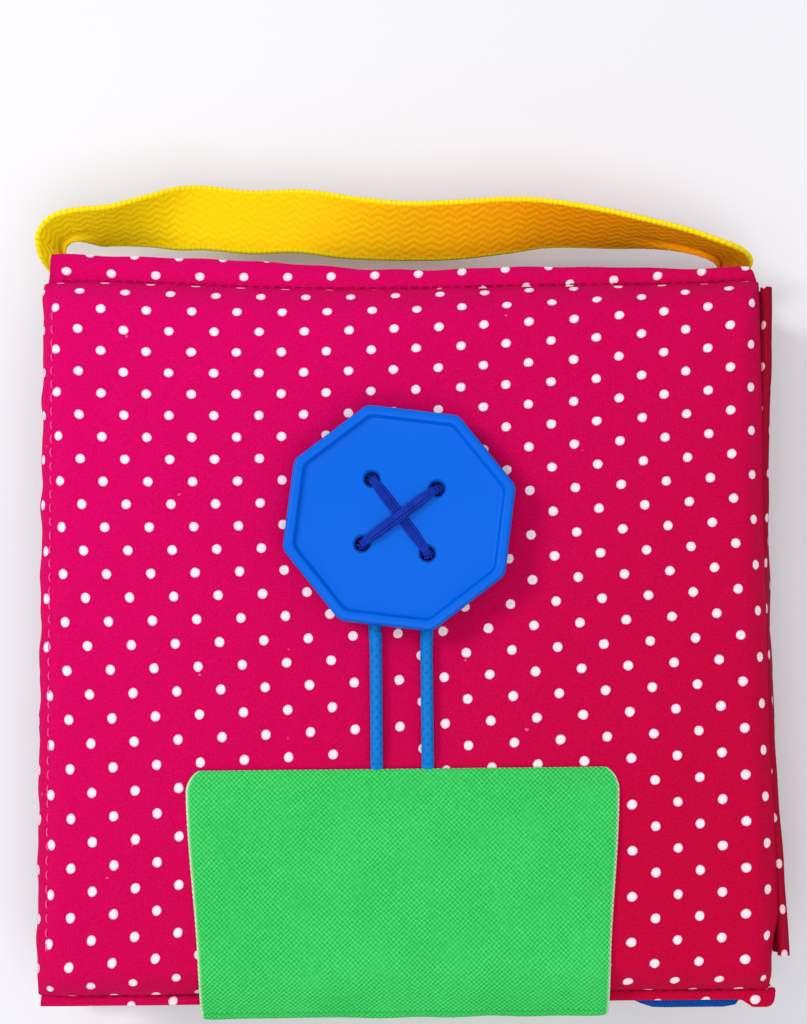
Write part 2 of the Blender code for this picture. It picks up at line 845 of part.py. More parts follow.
def buckle(cover_pivot, slide_pivot):
    """Make the side-release buckle: socket, plug, two prongs and two straps."""
    top = front_page - buckle_offset
    low = top - buckle_thickness
    middle = (top + low) / 2
    half = buckle_width / 2
    bar_radius = bar_diameter / 2
    slot_half = half - plug_rail

    def slab(name, start, end, reach, height, finish=None, bevel=0.0):
        return box(
            name, (start, buckle_y - reach, middle - height / 2),
            (end, buckle_y + reach, middle + height / 2), finish, bevel,
        )

    socket_end = buckle_x - socket_length
    socket = slab("buckle_socket", socket_end, buckle_x, half, buckle_thickness, black_plastic)
    inner = half - socket_wall
    deep = buckle_thickness - 2 * socket_wall
    cavity = slab("socket_cavity", buckle_x - socket_cavity, buckle_x + overrun, inner, deep)
    combine(socket, cavity, "DIFFERENCE")
    window_start = buckle_x - window_setback - window_length
    windows = slab(
        "socket_windows", window_start, window_start + window_length, half + overrun, window_height
    )
    combine(socket, windows, "DIFFERENCE")
    socket_bar = socket_end + bar_radius
    slot_start = socket_bar + bar_radius
    slot = slab(
        "socket_slot", socket_end - overrun, slot_start + bar_slot, slot_half, buckle_thickness + overrun
    )
    combine(socket, slot, "DIFFERENCE")
    bar = cross_bar("socket_bar", (socket_bar, buckle_y, middle), bar_radius, 2 * slot_half + plug_rail)
    combine(socket, bar, "UNION")
    round_edges(socket, small_bevel)
    attach(socket, cover_pivot)

    grip_start = buckle_x + fit_gap
    grip_end = grip_start + plug_grip
    plug_end = grip_end + plug_frame
    reach = half - small_bevel
    plug = slab("buckle_plug", grip_start, grip_end, reach, plug_grip_height, black_plastic)
    frame = slab("plug_frame", grip_end - overrun, plug_end, reach, plug_plate)
    opening_start = grip_end + small_bevel
    opening = slab("plug_opening", opening_start, plug_end + overrun, slot_half, buckle_thickness)
    combine(frame, opening, "DIFFERENCE")
    combine(plug, frame, "UNION")
    plug_bar = plug_end - bar_radius
    bar = cross_bar("plug_bar", (plug_bar, buckle_y, middle), bar_radius, 2 * slot_half + plug_rail)
    combine(plug, bar, "UNION")
    guide = slab(
        "plug_guide", grip_start - guide_length, grip_start + overrun, guide_width / 2, guide_height
    )
    combine(plug, guide, "UNION")
    round_edges(plug, small_bevel)
    attach(plug, slide_pivot)
    for name, side in (("buckle_prong_lower", -1), ("buckle_prong_upper", 1)):
        attach(prong(name, side, grip_start - fit_gap, window_start, middle), slide_pivot)

    strap_low = buckle_y - buckle_strap_width / 2
    strap_high = buckle_y + buckle_strap_width / 2
    for name, bar_x, outward in (
        ("buckle_strap_left", socket_bar, -1),
        ("buckle_strap_right", plug_bar, 1),
    ):
        path = strap_route(bar_x, outward, middle, bar_radius)
        strap = strip(name, path, strap_low, strap_high, buckle_strap_cloth, yellow_webbing)
        attach(strap, cover_pivot)


def strap_route(bar_x, outward, middle, bar_radius):
    """Path of a strap from its sewn end to the buckle's bar, round the bar and back."""
    wrap = bar_radius + lift_gap + buckle_strap_cloth / 2
    level = front_page - fit_gap - buckle_strap_cloth / 2
    near = bar_x + outward * strap_ramp_gap
    path = [
        (outward * buckle_strap_end, level),
        (near + outward * strap_ramp, level),
        (near, middle + wrap),
    ]
    for angle in range(0, 181, 20):
        turn = radians(90 - angle)
        path.append((bar_x - outward * wrap * cos(turn), middle + wrap * sin(turn)))
    path.append((bar_x + outward * strap_fold_back, middle - wrap))
    return path


def prong(name, side, start, window_start, middle):
    """Make one springy prong with the barb that fills a side window."""
    thick = window_height - 2 * slider_play
    inner = buckle_y + side * prong_offset
    outer = buckle_y + side * (prong_offset + prong_width)
    tip = buckle_y + side * barb_reach
    barb_start = window_start + barb_setback
    barb_end = barb_start + barb_length
    arm = box(
        name,
        (start - prong_length, min(inner, outer), middle - thick / 2),
        (start, max(inner, outer), middle + thick / 2),
        black_plastic,
    )
    within = (inner + outer) / 2
    barb = box(
        name + "_barb",
        (barb_start, min(within, tip), middle - thick / 2),
        (barb_end, max(within, tip), middle + thick / 2),
    )
    combine(arm, barb, "UNION")
    round_edges(arm, small_bevel)
    return arm


for thing in list(bpy.data.objects):
    bpy.data.objects.remove(thing)

board_parts = collection("busy_board")
cutters = collection("cutters")

dotted_cloth = material("dotted_cloth", (0.62, 0.004, 0.09), 0.85)
shaded_cloth = material("spine_cloth", (0.5, 0.004, 0.05), 0.85)
blue_canvas = material("blue_canvas", (0.01, 0.06, 0.38), 0.85)
green_canvas = material("green_canvas", (0.04, 0.6, 0.1), 0.8)
foam_white = material("foam", (0.8, 0.8, 0.78), 0.9)
yellow_webbing = material("yellow_webbing", (0.85, 0.5, 0.01), 0.75)
red_webbing = material("red_webbing", (0.6, 0.02, 0.02), 0.75)
elastic_blue = material("elastic_blue", (0.01, 0.2, 0.75), 0.7)
button_blue = material("button_blue", (0.0, 0.11, 0.7), 0.35)
thread_navy = material("thread_navy", (0.005, 0.03, 0.2), 0.8)
lace_white = material("lace_white", (0.8, 0.8, 0.8), 0.8)
black_plastic = material("black_plastic", (0.02, 0.02, 0.02), 0.45)
steel = material("steel", (0.7, 0.7, 0.72), 0.3, 1.0)

flap_hinge_y = -half_height - flap_offset - flap_thickness / 2
flap_low_hinge = cover_depth - hem_depth / 2
handle_hinge_y = half_height + fit_gap + webbing_thickness / 2
handle_hinge_z = back_page + fit_gap + webbing_thickness / 2

spine_pivot = pivot("spine_pivot", Vector((spine_hinge_x, 0, spine_hinge_height)))
cover_pivot = pivot("cover_pivot", Vector((spine_hinge_x, 0, front_hinge_height)), spine_pivot)
flap_pivot = pivot("flap_pivot", Vector((flap_middle, flap_hinge_y, flap_low_hinge)))
tongue_pivot = pivot("tongue_pivot", Vector((flap_middle, flap_hinge_y, flap_root_height)), flap_pivot)
handle_pivot = pivot("handle_pivot", Vector((0, handle_hinge_y, handle_hinge_z)))
button_pivot = pivot("button_pivot", Vector((button_x, button_y, button_level)), cover_pivot)
slider_pivot = pivot("slider_pivot", Vector((slider_x, belt_y, front_page)), cover_pivot)
plug_pivot = pivot("plug_pivot", Vector((buckle_x, buckle_y, front_page)), cover_pivot)
snap_pivot = pivot("snap_pivot", Vector((snap_hinge_x, snap_y, back_page + snap_hinge_height)))

cover("back", None)
cover("front", cover_pivot)
spine(spine_pivot)
flap(flap_pivot, tongue_pivot)
button(button_pivot)
handle(handle_pivot)
lacing()
snap(snap_pivot)
belt(cover_pivot, slider_pivot)
buckle(cover_pivot, plug_pivot)
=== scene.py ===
"""Looks of a folding fabric busy board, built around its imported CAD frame.

Units are metres. +X runs to the spine, +Y to the handle and +Z up through the closed board.
"""

from math import acos, cos, pi, radians, sin, sqrt

import bpy
import numpy as np
from mathutils import Matrix, Vector


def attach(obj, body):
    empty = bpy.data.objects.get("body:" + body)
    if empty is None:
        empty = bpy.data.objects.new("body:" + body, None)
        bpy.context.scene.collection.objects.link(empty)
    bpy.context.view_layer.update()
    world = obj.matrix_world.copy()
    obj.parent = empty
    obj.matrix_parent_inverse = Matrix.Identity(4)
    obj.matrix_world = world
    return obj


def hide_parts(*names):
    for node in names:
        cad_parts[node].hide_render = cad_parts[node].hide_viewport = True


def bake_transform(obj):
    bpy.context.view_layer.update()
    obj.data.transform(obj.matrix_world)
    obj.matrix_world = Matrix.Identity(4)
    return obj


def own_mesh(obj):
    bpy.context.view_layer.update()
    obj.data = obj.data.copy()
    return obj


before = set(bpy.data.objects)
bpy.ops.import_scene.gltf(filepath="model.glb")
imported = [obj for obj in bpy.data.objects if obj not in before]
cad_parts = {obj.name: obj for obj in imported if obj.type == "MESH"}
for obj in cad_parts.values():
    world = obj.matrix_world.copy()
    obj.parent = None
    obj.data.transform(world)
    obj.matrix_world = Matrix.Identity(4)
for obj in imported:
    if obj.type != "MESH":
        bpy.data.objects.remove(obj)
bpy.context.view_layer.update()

# Sizes of the CAD part
half_width = 0.081
half_height = 0.0825
back_page = 0.009
front_page = 0.027
page_gap = 0.0003
hem_level = 0.0293
back_hem_level = back_page - (hem_level - front_page)
pad_rise = 0.0067
front_crown = 0.0022
edge_round = 0.007
body_top = 0.0772
body_bottom = -0.0792
spine_low_y, spine_high_y = -0.072, 0.076
button_x = -0.0012
button_y = 0.0235
button_radius = 0.0258
button_level = 0.0419
button_top = 0.0469
button_floor = 0.0455
hole_ring = 0.0101
flap_middle = -0.0012
flap_top = -0.0307
handle_hinge_y = 0.0835
handle_hinge_z = 0.01

# Seams: pitch, length and thickness of a stitch
hem_seam = (0.0024, 0.0016, 0.00026)
side_seam = (0.0031, 0.0021, 0.00028)
page_seam = (0.0027, 0.0019, 0.0003)
panel_seam = (0.0024, 0.0018, 0.0004)


def vec(*numbers):
    """Numbers as a numpy vector."""
    return np.array(numbers, float)


def joined(*values):
    """Arrays and numbers as one array of places."""
    return np.stack(np.broadcast_arrays(*values), -1)


def unit(arm):
    """A direction with the length 1."""
    return arm / np.linalg.norm(arm)


def ease(share):
    """A smooth step from 0 to 1."""
    share = np.clip(share, 0.0, 1.0)
    return share * share * (3 - 2 * share)


def quarter(share):
    """How far a quarter round has dropped at a share of its length."""
    return 1 - np.sqrt(1 - np.clip(share, 0, 0.999) ** 2)


def waves(x, y, length, seed):
    """A smooth wavy field between about -1 and 1, the same in every run."""
    count = 7
    source = np.random.default_rng(seed)
    total = 0.0
    for _ in range(count):
        angle, phase = source.uniform(0, 2 * pi, 2)
        stretch = length * source.uniform(0.65, 1.5)
        total = total + np.sin(2 * pi * (x * cos(angle) + y * sin(angle)) / stretch + phase)
    return total / sqrt(count)


def smooth_line(x, known_x, known_y):
    """A line through known points, with its corners eased."""
    shifts = (-0.006, -0.003, 0.0, 0.003, 0.006)
    return sum(np.interp(x + shift, known_x, known_y) for shift in shifts) / len(shifts)


def front_surface(x, y):
    """Height of the front cover's outer cloth in the CAD part."""
    def roll(distance):
        share = np.clip(distance / edge_round, 0.0, 1.0)
        return np.sqrt(np.maximum(0.0, 1 - (1 - share) ** 2))

    crown = front_crown * (1 - (x / half_width) ** 2) * (1 - (y / half_height) ** 2)
    share = roll(half_width - np.abs(x)) * roll(np.minimum(body_top - y, y - body_bottom))
    return hem_level + (pad_rise + crown) * share


# Mesh building
class Shape:
    """Collects the places and faces of one mesh, with its cloth places and relief."""

    def __init__(self):
        self.places, self.faces, self.cloth, self.relief = [], [], [], []
        self.count = 0

    def add(self, places, faces, cloth=None, relief=None):
        places = np.asarray(places, float).reshape(-1, 3)
        number = len(places)
        self.places.append(places)
        self.faces += [tuple(int(i) + self.count for i in face) for face in faces]
        self.cloth.append(np.zeros((number, 2)) if cloth is None else np.asarray(cloth).reshape(-1, 2))
        self.relief.append(np.ones(number) if relief is None else np.asarray(relief).ravel())
        self.count += number

    def make(self, name, finish, smooth_angle=50.0):
        mesh = bpy.data.meshes.new(name)
        mesh.from_pydata(np.concatenate(self.places).tolist(), [], self.faces)
        store(mesh, "cloth", np.concatenate(self.cloth))
        relief = mesh.attributes.new("relief", "FLOAT", "POINT")
        relief.data.foreach_set("value", np.concatenate(self.relief).astype(np.float32))
        mesh.materials.append(finish)
        mesh.validate()
        smooth(mesh, smooth_angle)
        made = bpy.data.objects.new(name, mesh)
        bpy.context.scene.collection.objects.link(made)
        return made


def store(mesh, name, values):
    """Keep pairs of numbers on a mesh's vertices."""
    flat = np.zeros((len(values), 3), np.float32)
    flat[:, :2] = values
    mesh.attributes.new(name, "FLOAT_VECTOR", "POINT").data.foreach_set("vector", flat.ravel())


def smooth(mesh, angle):
    """Shade a mesh smooth, apart from its sharp edges."""
    mesh.shade_smooth()
    mesh.set_sharp_from_angle(angle=radians(angle))


def fit(made, body=None, nodes=()):
    """Say which solids a piece replaces and the body that it rides on."""
    if nodes:
        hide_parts(*nodes)
    if body:
        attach(made, body)
    return made


def grid_faces(rows, columns, offset=0, flip=False, wrap=False):
    """Quads of a grid, as vertex numbers."""
    faces = []
    for i in range(rows - 1):
        for j in range(columns if wrap else columns - 1):
            k = (j + 1) % columns
            here = offset + i * columns
            quad = (here + j, here + k, here + columns + k, here + columns + j)
            faces.append(quad[::-1] if flip else quad)
    return faces


def normals_of(places):
    """Unit normals of a grid of places: columns run first, rows second."""
    normal = np.cross(np.gradient(places, axis=1), np.gradient(places, axis=0))
    return normal / np.maximum(np.linalg.norm(normal, axis=2, keepdims=True), 1e-12)


def slab(shape, upper, lower, cloth, relief=None):
    """Add a closed sheet between two grids of places. Upper's normals point outwards."""
    rows, columns = upper.shape[:2]
    number = rows * columns
    faces = grid_faces(rows, columns) + grid_faces(rows, columns, number, flip=True)
    index = np.arange(number).reshape(rows, columns)
    around = [*index[0, :-1], *index[:-1, -1], *index[-1, :0:-1], *index[:0:-1, 0]]
    for a, b in zip(around, around[1:] + around[:1]):
        faces.append((b, a, a + number, b + number))
    both = np.concatenate([upper.reshape(-1, 3), lower.reshape(-1, 3)])
    if relief is not None:
        relief = np.concatenate([relief.ravel()] * 2)
    shape.add(both, faces, np.concatenate([cloth.reshape(-1, 2)] * 2), relief)


def sheet_of(name, upper, cloth, thickness, finish):
    """Make a closed sheet of cloth under a grid of places."""
    shape = Shape()
    slab(shape, upper, upper - normals_of(upper) * thickness, cloth)
    return shape.make(name, finish)


def reach_of(path):
    """How far along a path each of its points is."""
    return np.concatenate([[0], np.cumsum(np.linalg.norm(np.diff(path, axis=0), axis=1))])


def at_reach(path, reach, wanted):
    """The points of a path at the wanted distances along it."""
    return np.stack([np.interp(wanted, reach, path[:, k]) for k in range(path.shape[1])], 1)


def even(path, step):
    """The same path with points an even step apart, measured on its first three columns."""
    path = np.asarray(path, float)
    reach = reach_of(path[:, :3])
    count = max(2, int(round(reach[-1] / step)) + 1)
    return at_reach(path, reach, np.linspace(0, reach[-1], count))


def spline(points, steps):
    """A smooth curve through points, with a number of steps to each stretch."""
    places = np.asarray(points, float)
    padded = np.vstack([2 * places[0] - places[1], places, 2 * places[-1] - places[-2]])
    path = []
    for a, b, c, d in zip(padded, padded[1:], padded[2:], padded[3:]):
        for step in range(steps):
            t = step / steps
            path.append(
                (2 * b + (c - a) * t + (2 * a - 5 * b + 4 * c - d) * t**2
                 + (3 * b - a - 3 * c + d) * t**3) / 2
            )
    path.append(places[-1])
    return np.array(path)


def arc(before, corner, after, radius, steps):
    """Points of the arc that rounds a corner, or the corner alone where the path runs straight."""
    back, ahead = unit(before - corner), unit(after - corner)
    turn = pi - acos(np.clip(back @ ahead, -1, 1))
    if turn < radians(1):
        return [corner]
    cut = radius * sin(turn / 2) / cos(turn / 2)
    centre = corner + unit(back + ahead) * sqrt(radius * radius + cut * cut)
    first, second = corner + back * cut - centre, corner + ahead * cut - centre
    return [
        centre + (first * sin((1 - share) * turn) + second * sin(share * turn)) / sin(turn)
        for share in np.linspace(0, 1, steps + 1)
    ]


def rounded(points, radius, steps=4):
    """A path whose corners are rounded with arcs."""
    places = np.asarray(points, float)
    path = [places[0]]
    for before, corner, after in zip(places, places[1:], places[2:]):
        path += arc(before, corner, after, radius, steps)
    return np.array([*path, places[-1]])


def tube(shape, path, radius, sides=10, braid=0.0, pitch=0.004, strands=8, flatten=1.0):
    """Add a round cord along a path, with closed ends and an optional braided relief."""
    tangents = np.gradient(path, axis=0)
    tangents /= np.linalg.norm(tangents, axis=1, keepdims=True)
    carried = np.cross(tangents[0], (0, 0, 1))
    if np.linalg.norm(carried) < 1e-3:
        carried = np.cross(tangents[0], (1, 0, 0))
    side = []
    for tangent in tangents:
        carried = unit(carried - tangent * (carried @ tangent))
        side.append(carried)
    side = np.array(side)
    rise = np.cross(side, tangents)

    lengths = reach_of(path)
    angles = np.linspace(0, 2 * pi, sides, endpoint=False)
    radii = np.broadcast_to(np.asarray(radius, float), (len(path),))
    height = np.broadcast_to(np.asarray(flatten, float), (len(path),))
    turn = 2 * pi * lengths[:, None] / pitch
    wave = np.maximum(*[
        np.abs(np.sin(strands / 2 * (angles[None] + way * turn / strands))) for way in (1, -1)
    ])
    swell = radii[:, None] * (1 + braid * (wave - 0.8))
    ring = (
        path[:, None]
        + side[:, None] * (np.cos(angles)[None, :, None] * swell[..., None])
        + rise[:, None] * (np.sin(angles)[None, :, None] * (swell * height[:, None])[..., None])
    )
    rows, columns = ring.shape[:2]
    faces = grid_faces(rows, columns, wrap=True, flip=True)
    start, end = rows * columns, rows * columns + 1
    for j in range(columns):
        k = (j + 1) % columns
        faces.append((start, j, k))
        faces.append((end, (rows - 1) * columns + k, (rows - 1) * columns + j))
    cloth = joined(lengths[:, None], angles[None] * radii[:, None]).reshape(-1, 2)
    shape.add(
        np.concatenate([ring.reshape(-1, 3), path[:1], path[-1:]]), faces,
        np.concatenate([cloth, np.zeros((2, 2))]), np.concatenate([np.clip(wave, 0, 1).ravel(), [1, 1]]),
    )


def stitches(shape, path, up, seam):
    """Add a row of stitches on a path: each one is a short thread that dips in at both ends."""
    pitch, length, thread = seam
    path = np.asarray(path, float)
    reach = reach_of(path)
    bow = vec(-1.1, 0.1, 0.8, 1.0, 0.8, 0.1, -1.1) * thread * 0.7
    thick = vec(0.75, 1, 1, 1, 1, 1, 0.75) * thread
    for start in np.arange(pitch / 2, reach[-1] - length, pitch):
        points = at_reach(path, reach, start + np.linspace(0, 1, 7) * length)
        tube(shape, points + np.asarray(up) * bow[:, None], thick / 2, sides=6)


def sew_box(shape, low, high, level, up, seam, crossed=False):
    """Sew round a rectangle, and along its diagonals where it is crossed."""
    (x0, y0), (x1, y1) = low, high
    lines = [(x0, y0, x1, y0), (x1, y0, x1, y1), (x1, y1, x0, y1), (x0, y1, x0, y0)]
    if crossed:
        lines += [(x0, y0, x1, y1), (x0, y1, x1, y0)]
    for ax, ay, bx, by in lines:
        route = even([(ax, ay, level), (bx, by, level)], 0.0004 if crossed else 0.0005)
        stitches(shape, route, (0, 0, up), seam)


def bar_tack(shape, low, high, level, up, thread=0.0004):
    """Sew a crossed rectangle, as on a strap's end."""
    sew_box(shape, low, high, level, up, (0.0021, 0.0016, thread), crossed=True)


def turned(profile, centre, steps):
    """Rings of places for (radius, height) pairs round an upright axis."""
    angles = np.linspace(0, 2 * pi, steps, endpoint=False)
    radius, height = np.asarray(profile, float).T[:, :, None]
    x, y, z = centre
    return joined(x + radius * np.cos(angles), y + radius * np.sin(angles), z + height)


def lathe(shape, profile, centre, steps):
    """Add a turned solid: its profile starts and ends on the axis, or is a closed ring."""
    rings = turned(profile, centre, steps)
    closed = profile[0][0] > 0
    count = len(rings) * steps
    faces = grid_faces(len(rings) + closed, steps, wrap=True, flip=True)
    shape.add(rings, [tuple(i % count for i in face) for face in faces])


def pile(shape, rings, flip=False):
    """Add a solid from rings of places, with flat ends."""
    rows, count = rings.shape[:2]
    faces = grid_faces(rows, count, wrap=True, flip=flip)
    first, last = tuple(range(count)), tuple((rows - 1) * count + k for k in range(count))
    faces += [first, last[::-1]] if flip else [first[::-1], last]
    shape.add(rings, faces)


def cut_with(made, tool_shape, name, finish):
    """Cut one closed shape out of a mesh."""
    tool = tool_shape.make(name, finish)
    cut = made.modifiers.new("cut", "BOOLEAN")
    cut.operation = "DIFFERENCE"
    cut.solver = "EXACT"
    cut.object = tool
    bpy.context.view_layer.update()
    old = made.data
    made.data = bpy.data.meshes.new_from_object(
        made.evaluated_get(bpy.context.evaluated_depsgraph_get())
    )
    made.modifiers.clear()
    bpy.data.meshes.remove(old)
    bpy.data.objects.remove(tool)


# Materials. Colours are screen colours from 0 to 255
def linear(colour):
    """A screen colour as linear light."""
    shares = [value / 255 for value in colour]
    return (*[s / 12.92 if s <= 0.04045 else ((s + 0.055) / 1.055) ** 2.4 for s in shares], 1.0)


class Finish:
    """Builds one procedural material."""

    def __init__(self, name, roughness=0.8, metallic=0.0, specular=0.5):
        self.material = bpy.data.materials.new(name)
        self.material.use_nodes = True
        self.tree = self.material.node_tree
        self.shader = self.tree.nodes["Principled BSDF"]
        self.shader.inputs["Roughness"].default_value = roughness
        self.shader.inputs["Metallic"].default_value = metallic
        self.shader.inputs["Specular IOR Level"].default_value = specular

    def node(self, kind, **settings):
        made = self.tree.nodes.new(kind)
        for name, value in settings.items():
            setattr(made, name, value)
        return made

    def feed(self, socket, value):
        if isinstance(value, bpy.types.NodeSocket):
            self.tree.links.new(value, socket)
        else:
            socket.default_value = value

    def math(self, operation, *values, clamp=False):
        made = self.node("ShaderNodeMath", operation=operation, use_clamp=clamp)
        for socket, value in zip(made.inputs, values):
            self.feed(socket, value)
        return made.outputs[0]

    def times(self, first, second):
        return self.math("MULTIPLY", first, second)

    def line(self, value, slope, start, clamp=False):
        return self.math("MULTIPLY_ADD", value, slope, start, clamp=clamp)

    def vector(self, operation, *values):
        made = self.node("ShaderNodeVectorMath", operation=operation)
        for socket, value in zip(made.inputs, values):
            self.feed(socket, value)
        return made.outputs["Value" if operation == "LENGTH" else "Vector"]

    def attribute(self, name):
        made = self.node("ShaderNodeAttribute", attribute_name=name)
        return made.outputs["Vector"], made.outputs["Fac"]

    def split(self, vector):
        made = self.node("ShaderNodeSeparateXYZ")
        self.feed(made.inputs[0], vector)
        return made.outputs[0], made.outputs[1]

    def object_places(self):
        return self.node("ShaderNodeTexCoord").outputs["Object"]

    def noise(self, scale, detail=2.0, vector=None, output="Fac"):
        made = self.node("ShaderNodeTexNoise")
        self.feed(made.inputs["Vector"], self.object_places() if vector is None else vector)
        made.inputs["Scale"].default_value = scale
        made.inputs["Detail"].default_value = detail
        return made.outputs[output]

    def step(self, value, low, high):
        made = self.node("ShaderNodeMapRange", interpolation_type="SMOOTHSTEP")
        self.feed(made.inputs["Value"], value)
        made.inputs["From Min"].default_value = low
        made.inputs["From Max"].default_value = high
        return made.outputs["Result"]

    def mix(self, share, first, second):
        made = self.node("ShaderNodeMix", data_type="RGBA")
        self.feed(made.inputs["Factor"], share)
        for socket, colour in ((made.inputs[6], first), (made.inputs[7], second)):
            self.feed(socket, linear(colour) if isinstance(colour, tuple) else colour)
        return made.outputs[2]

    def colour(self, value):
        self.feed(self.shader.inputs["Base Color"], value)

    def bump(self, height, distance, strength=1.0):
        made = self.node("ShaderNodeBump")
        made.inputs["Distance"].default_value = distance
        made.inputs["Strength"].default_value = strength
        self.feed(made.inputs["Height"], height)
        self.feed(self.shader.inputs["Normal"], made.outputs["Normal"])

    def weave(self, pitch):
        """A plain weave's height, from 0 to 1, at a thread pitch in metres."""
        a, b = [self.times(way, pi / pitch) for way in self.split(self.attribute("cloth")[0])]
        warp, weft = [self.math("ABSOLUTE", self.math("SINE", way)) for way in (a, b)]
        over = self.line(self.times(self.math("COSINE", a), self.math("COSINE", b)), 0.5, 0.5)
        under = self.math("SUBTRACT", 1.0, over)
        return self.math("MAXIMUM", self.times(warp, over), self.times(weft, under))


def dotted(name, upper_left, lower_right, pale):
    """Printed cotton: pale dots in staggered rows on a crimson ground, which runs from upper_left to
    lower_right across the print as a painted light gradient.
    """
    made = Finish(name, roughness=0.9, specular=0.06)
    lattice = made.attribute("print")[0]
    u, v = made.split(lattice)

    def distance(shift):
        moved = made.vector("ADD", lattice, (0.5 + shift, 0.5 + shift, 0.5))
        cell = made.vector("SUBTRACT", made.vector("FRACTION", moved), (0.5, 0.5, 0.5))
        return made.vector("LENGTH", cell)

    nearest = made.math("MINIMUM", distance(0.0), distance(0.5))
    nearest = made.math("ADD", nearest, made.line(made.noise(900.0), 0.03, -0.015))
    dot = made.math("SUBTRACT", 1.0, made.step(nearest, 0.088, 0.114))
    # Painted light: the ground slides from upper_left to lower_right across the print, standing in for light
    # that falls from one side
    slope = made.line(made.math("SUBTRACT", u, v), 0.0333, 0.37)
    ground = made.mix(made.step(slope, 0.0, 1.0), upper_left, lower_right)
    ground = made.mix(made.times(made.noise(70.0, 3.0), 0.16), ground, lower_right)
    weave = made.weave(0.00045)
    fibre = made.step(made.noise(2400.0), 0.3, 0.7)
    shade = made.line(weave, -0.30, made.line(fibre, 0.26, 0.20), clamp=True)
    ground = made.mix(shade, ground, (120, 0, 40))
    pale = made.mix(made.times(shade, 0.6), pale, (196, 120, 150))
    flecks = made.step(made.noise(330.0, 1.0), 0.80, 0.83)
    ground = made.mix(made.times(flecks, 0.55), ground, (240, 120, 170))
    made.colour(made.mix(dot, ground, pale))
    made.bump(made.math("ADD", weave, made.times(made.noise(1500.0), 0.7)), 0.00016, 0.8)
    return made.material


def canvas(name, light, dark, pitch, on_cloth=True, fray=None):
    """Coarse plain-woven canvas: its crossings catch the light, and its cut edge may be frayed."""
    made = Finish(name, roughness=0.85, specular=0.1)
    vector = made.attribute("cloth")[0] if on_cloth else made.object_places()
    drift = made.vector("SUBTRACT", made.noise(420.0, 1.0, vector, "Color"), (0.5, 0.5, 0.5))
    sway = made.vector("MULTIPLY", drift, (pitch * 0.5, pitch * 0.5, 0.0))
    ways = made.split(made.vector("ADD", vector, sway))
    crossing = made.times(*[made.math("COSINE", made.times(way, 2 * pi / pitch)) for way in ways])
    weave = made.line(crossing, 0.5, 0.5)
    fibre = made.noise(1500.0)
    share = made.line(weave, 0.75, made.line(made.noise(90.0, 3.0), 0.3, -0.15))
    body = made.mix(made.line(fibre, 0.3, share, clamp=True), dark, light)
    if fray:
        body = made.mix(made.step(made.attribute("relief")[1], 0.3, 0.8), fray, body)
    made.colour(body)
    made.bump(made.math("ADD", weave, made.times(fibre, 0.4)), 0.00035)
    return made.material


def webbing(name, light, dark, edge, half, painted_shade_colours=None):
    """Woven strap: its ribs are in the mesh, and its colour is darkened in their grooves as painted shade.
    The selvedges get a painted highlight, and painted_shade_colours, if given, paint the strap darker
    towards +X as painted shade.
    """
    made = Finish(name, roughness=0.8, specular=0.1)
    relief = made.attribute("relief")[1]
    fibre = made.noise(1900.0, 3.0)
    # Painted shade: the colour goes to the dark one where the relief is low, in the grooves of the weave
    share = made.line(fibre, 0.35, made.math("SUBTRACT", relief, 0.15), clamp=True)
    _, v = made.split(made.attribute("cloth")[0])
    near = made.step(made.math("ABSOLUTE", v), half - 0.0012, half - 0.0004)
    body = made.mix(share, dark, light)
    # Painted shade: towards +X the strap slides to a darker orange pair of colours, standing in for the
    # shade on the handle's right half
    if painted_shade_colours:
        x, _ = made.split(made.object_places())
        body = made.mix(made.step(x, -0.055, 0.050), body, made.mix(share, painted_shade_colours[1], painted_shade_colours[0]))
    # Painted highlight: along the selvedges the colour goes to the lighter edge colour where the relief
    # stands, and to the dark one between
    made.colour(made.mix(near, body, made.mix(made.step(relief, 0.5, 0.9), dark, edge)))
    made.bump(made.math("ADD", made.times(fibre, 0.5), made.weave(0.0004)), 0.00012, 0.7)
    return made.material


def cord_finish(name, light, dark, roughness):
    """Braided or twisted cord: its colour is darkened between its strands as painted shade."""
    made = Finish(name, roughness=roughness, specular=0.12)
    fibre = made.noise(2600.0)
    # Painted shade: darker where the relief between the strands is low
    depth = made.math("SUBTRACT", made.attribute("relief")[1], 0.35)
    made.colour(made.mix(made.line(fibre, 0.4, depth, clamp=True), dark, light))
    made.bump(fibre, 0.0001, 0.6)
    return made.material


def plastic(name, colour, shade, roughness, grain):
    """Moulded plastic with a faint grain."""
    made = Finish(name, roughness=roughness, specular=0.08)
    made.colour(made.mix(made.times(made.noise(60.0), 0.5), colour, shade))
    made.bump(made.noise(grain), 0.00005, 0.35)
    rough = made.line(made.noise(400.0, 3.0), 0.14, roughness - 0.07)
    made.feed(made.shader.inputs["Roughness"], rough)
    return made.material


def metal(name):
    """Plated steel with fine wear."""
    made = Finish(name, roughness=0.25, metallic=1.0)
    slow = made.noise(300.0, 3.0)
    made.colour(made.mix(slow, (225, 225, 228), (180, 180, 186)))
    made.feed(made.shader.inputs["Roughness"], made.line(slow, 0.25, 0.15))
    made.bump(made.noise(1800.0), 0.00004, 0.3)
    return made.material


# The front cloth is painted lighter and more magenta towards its upper left, as painted light
cotton = dotted("dotted_cloth", (232, 0, 110), (205, 4, 58), (252, 236, 243))
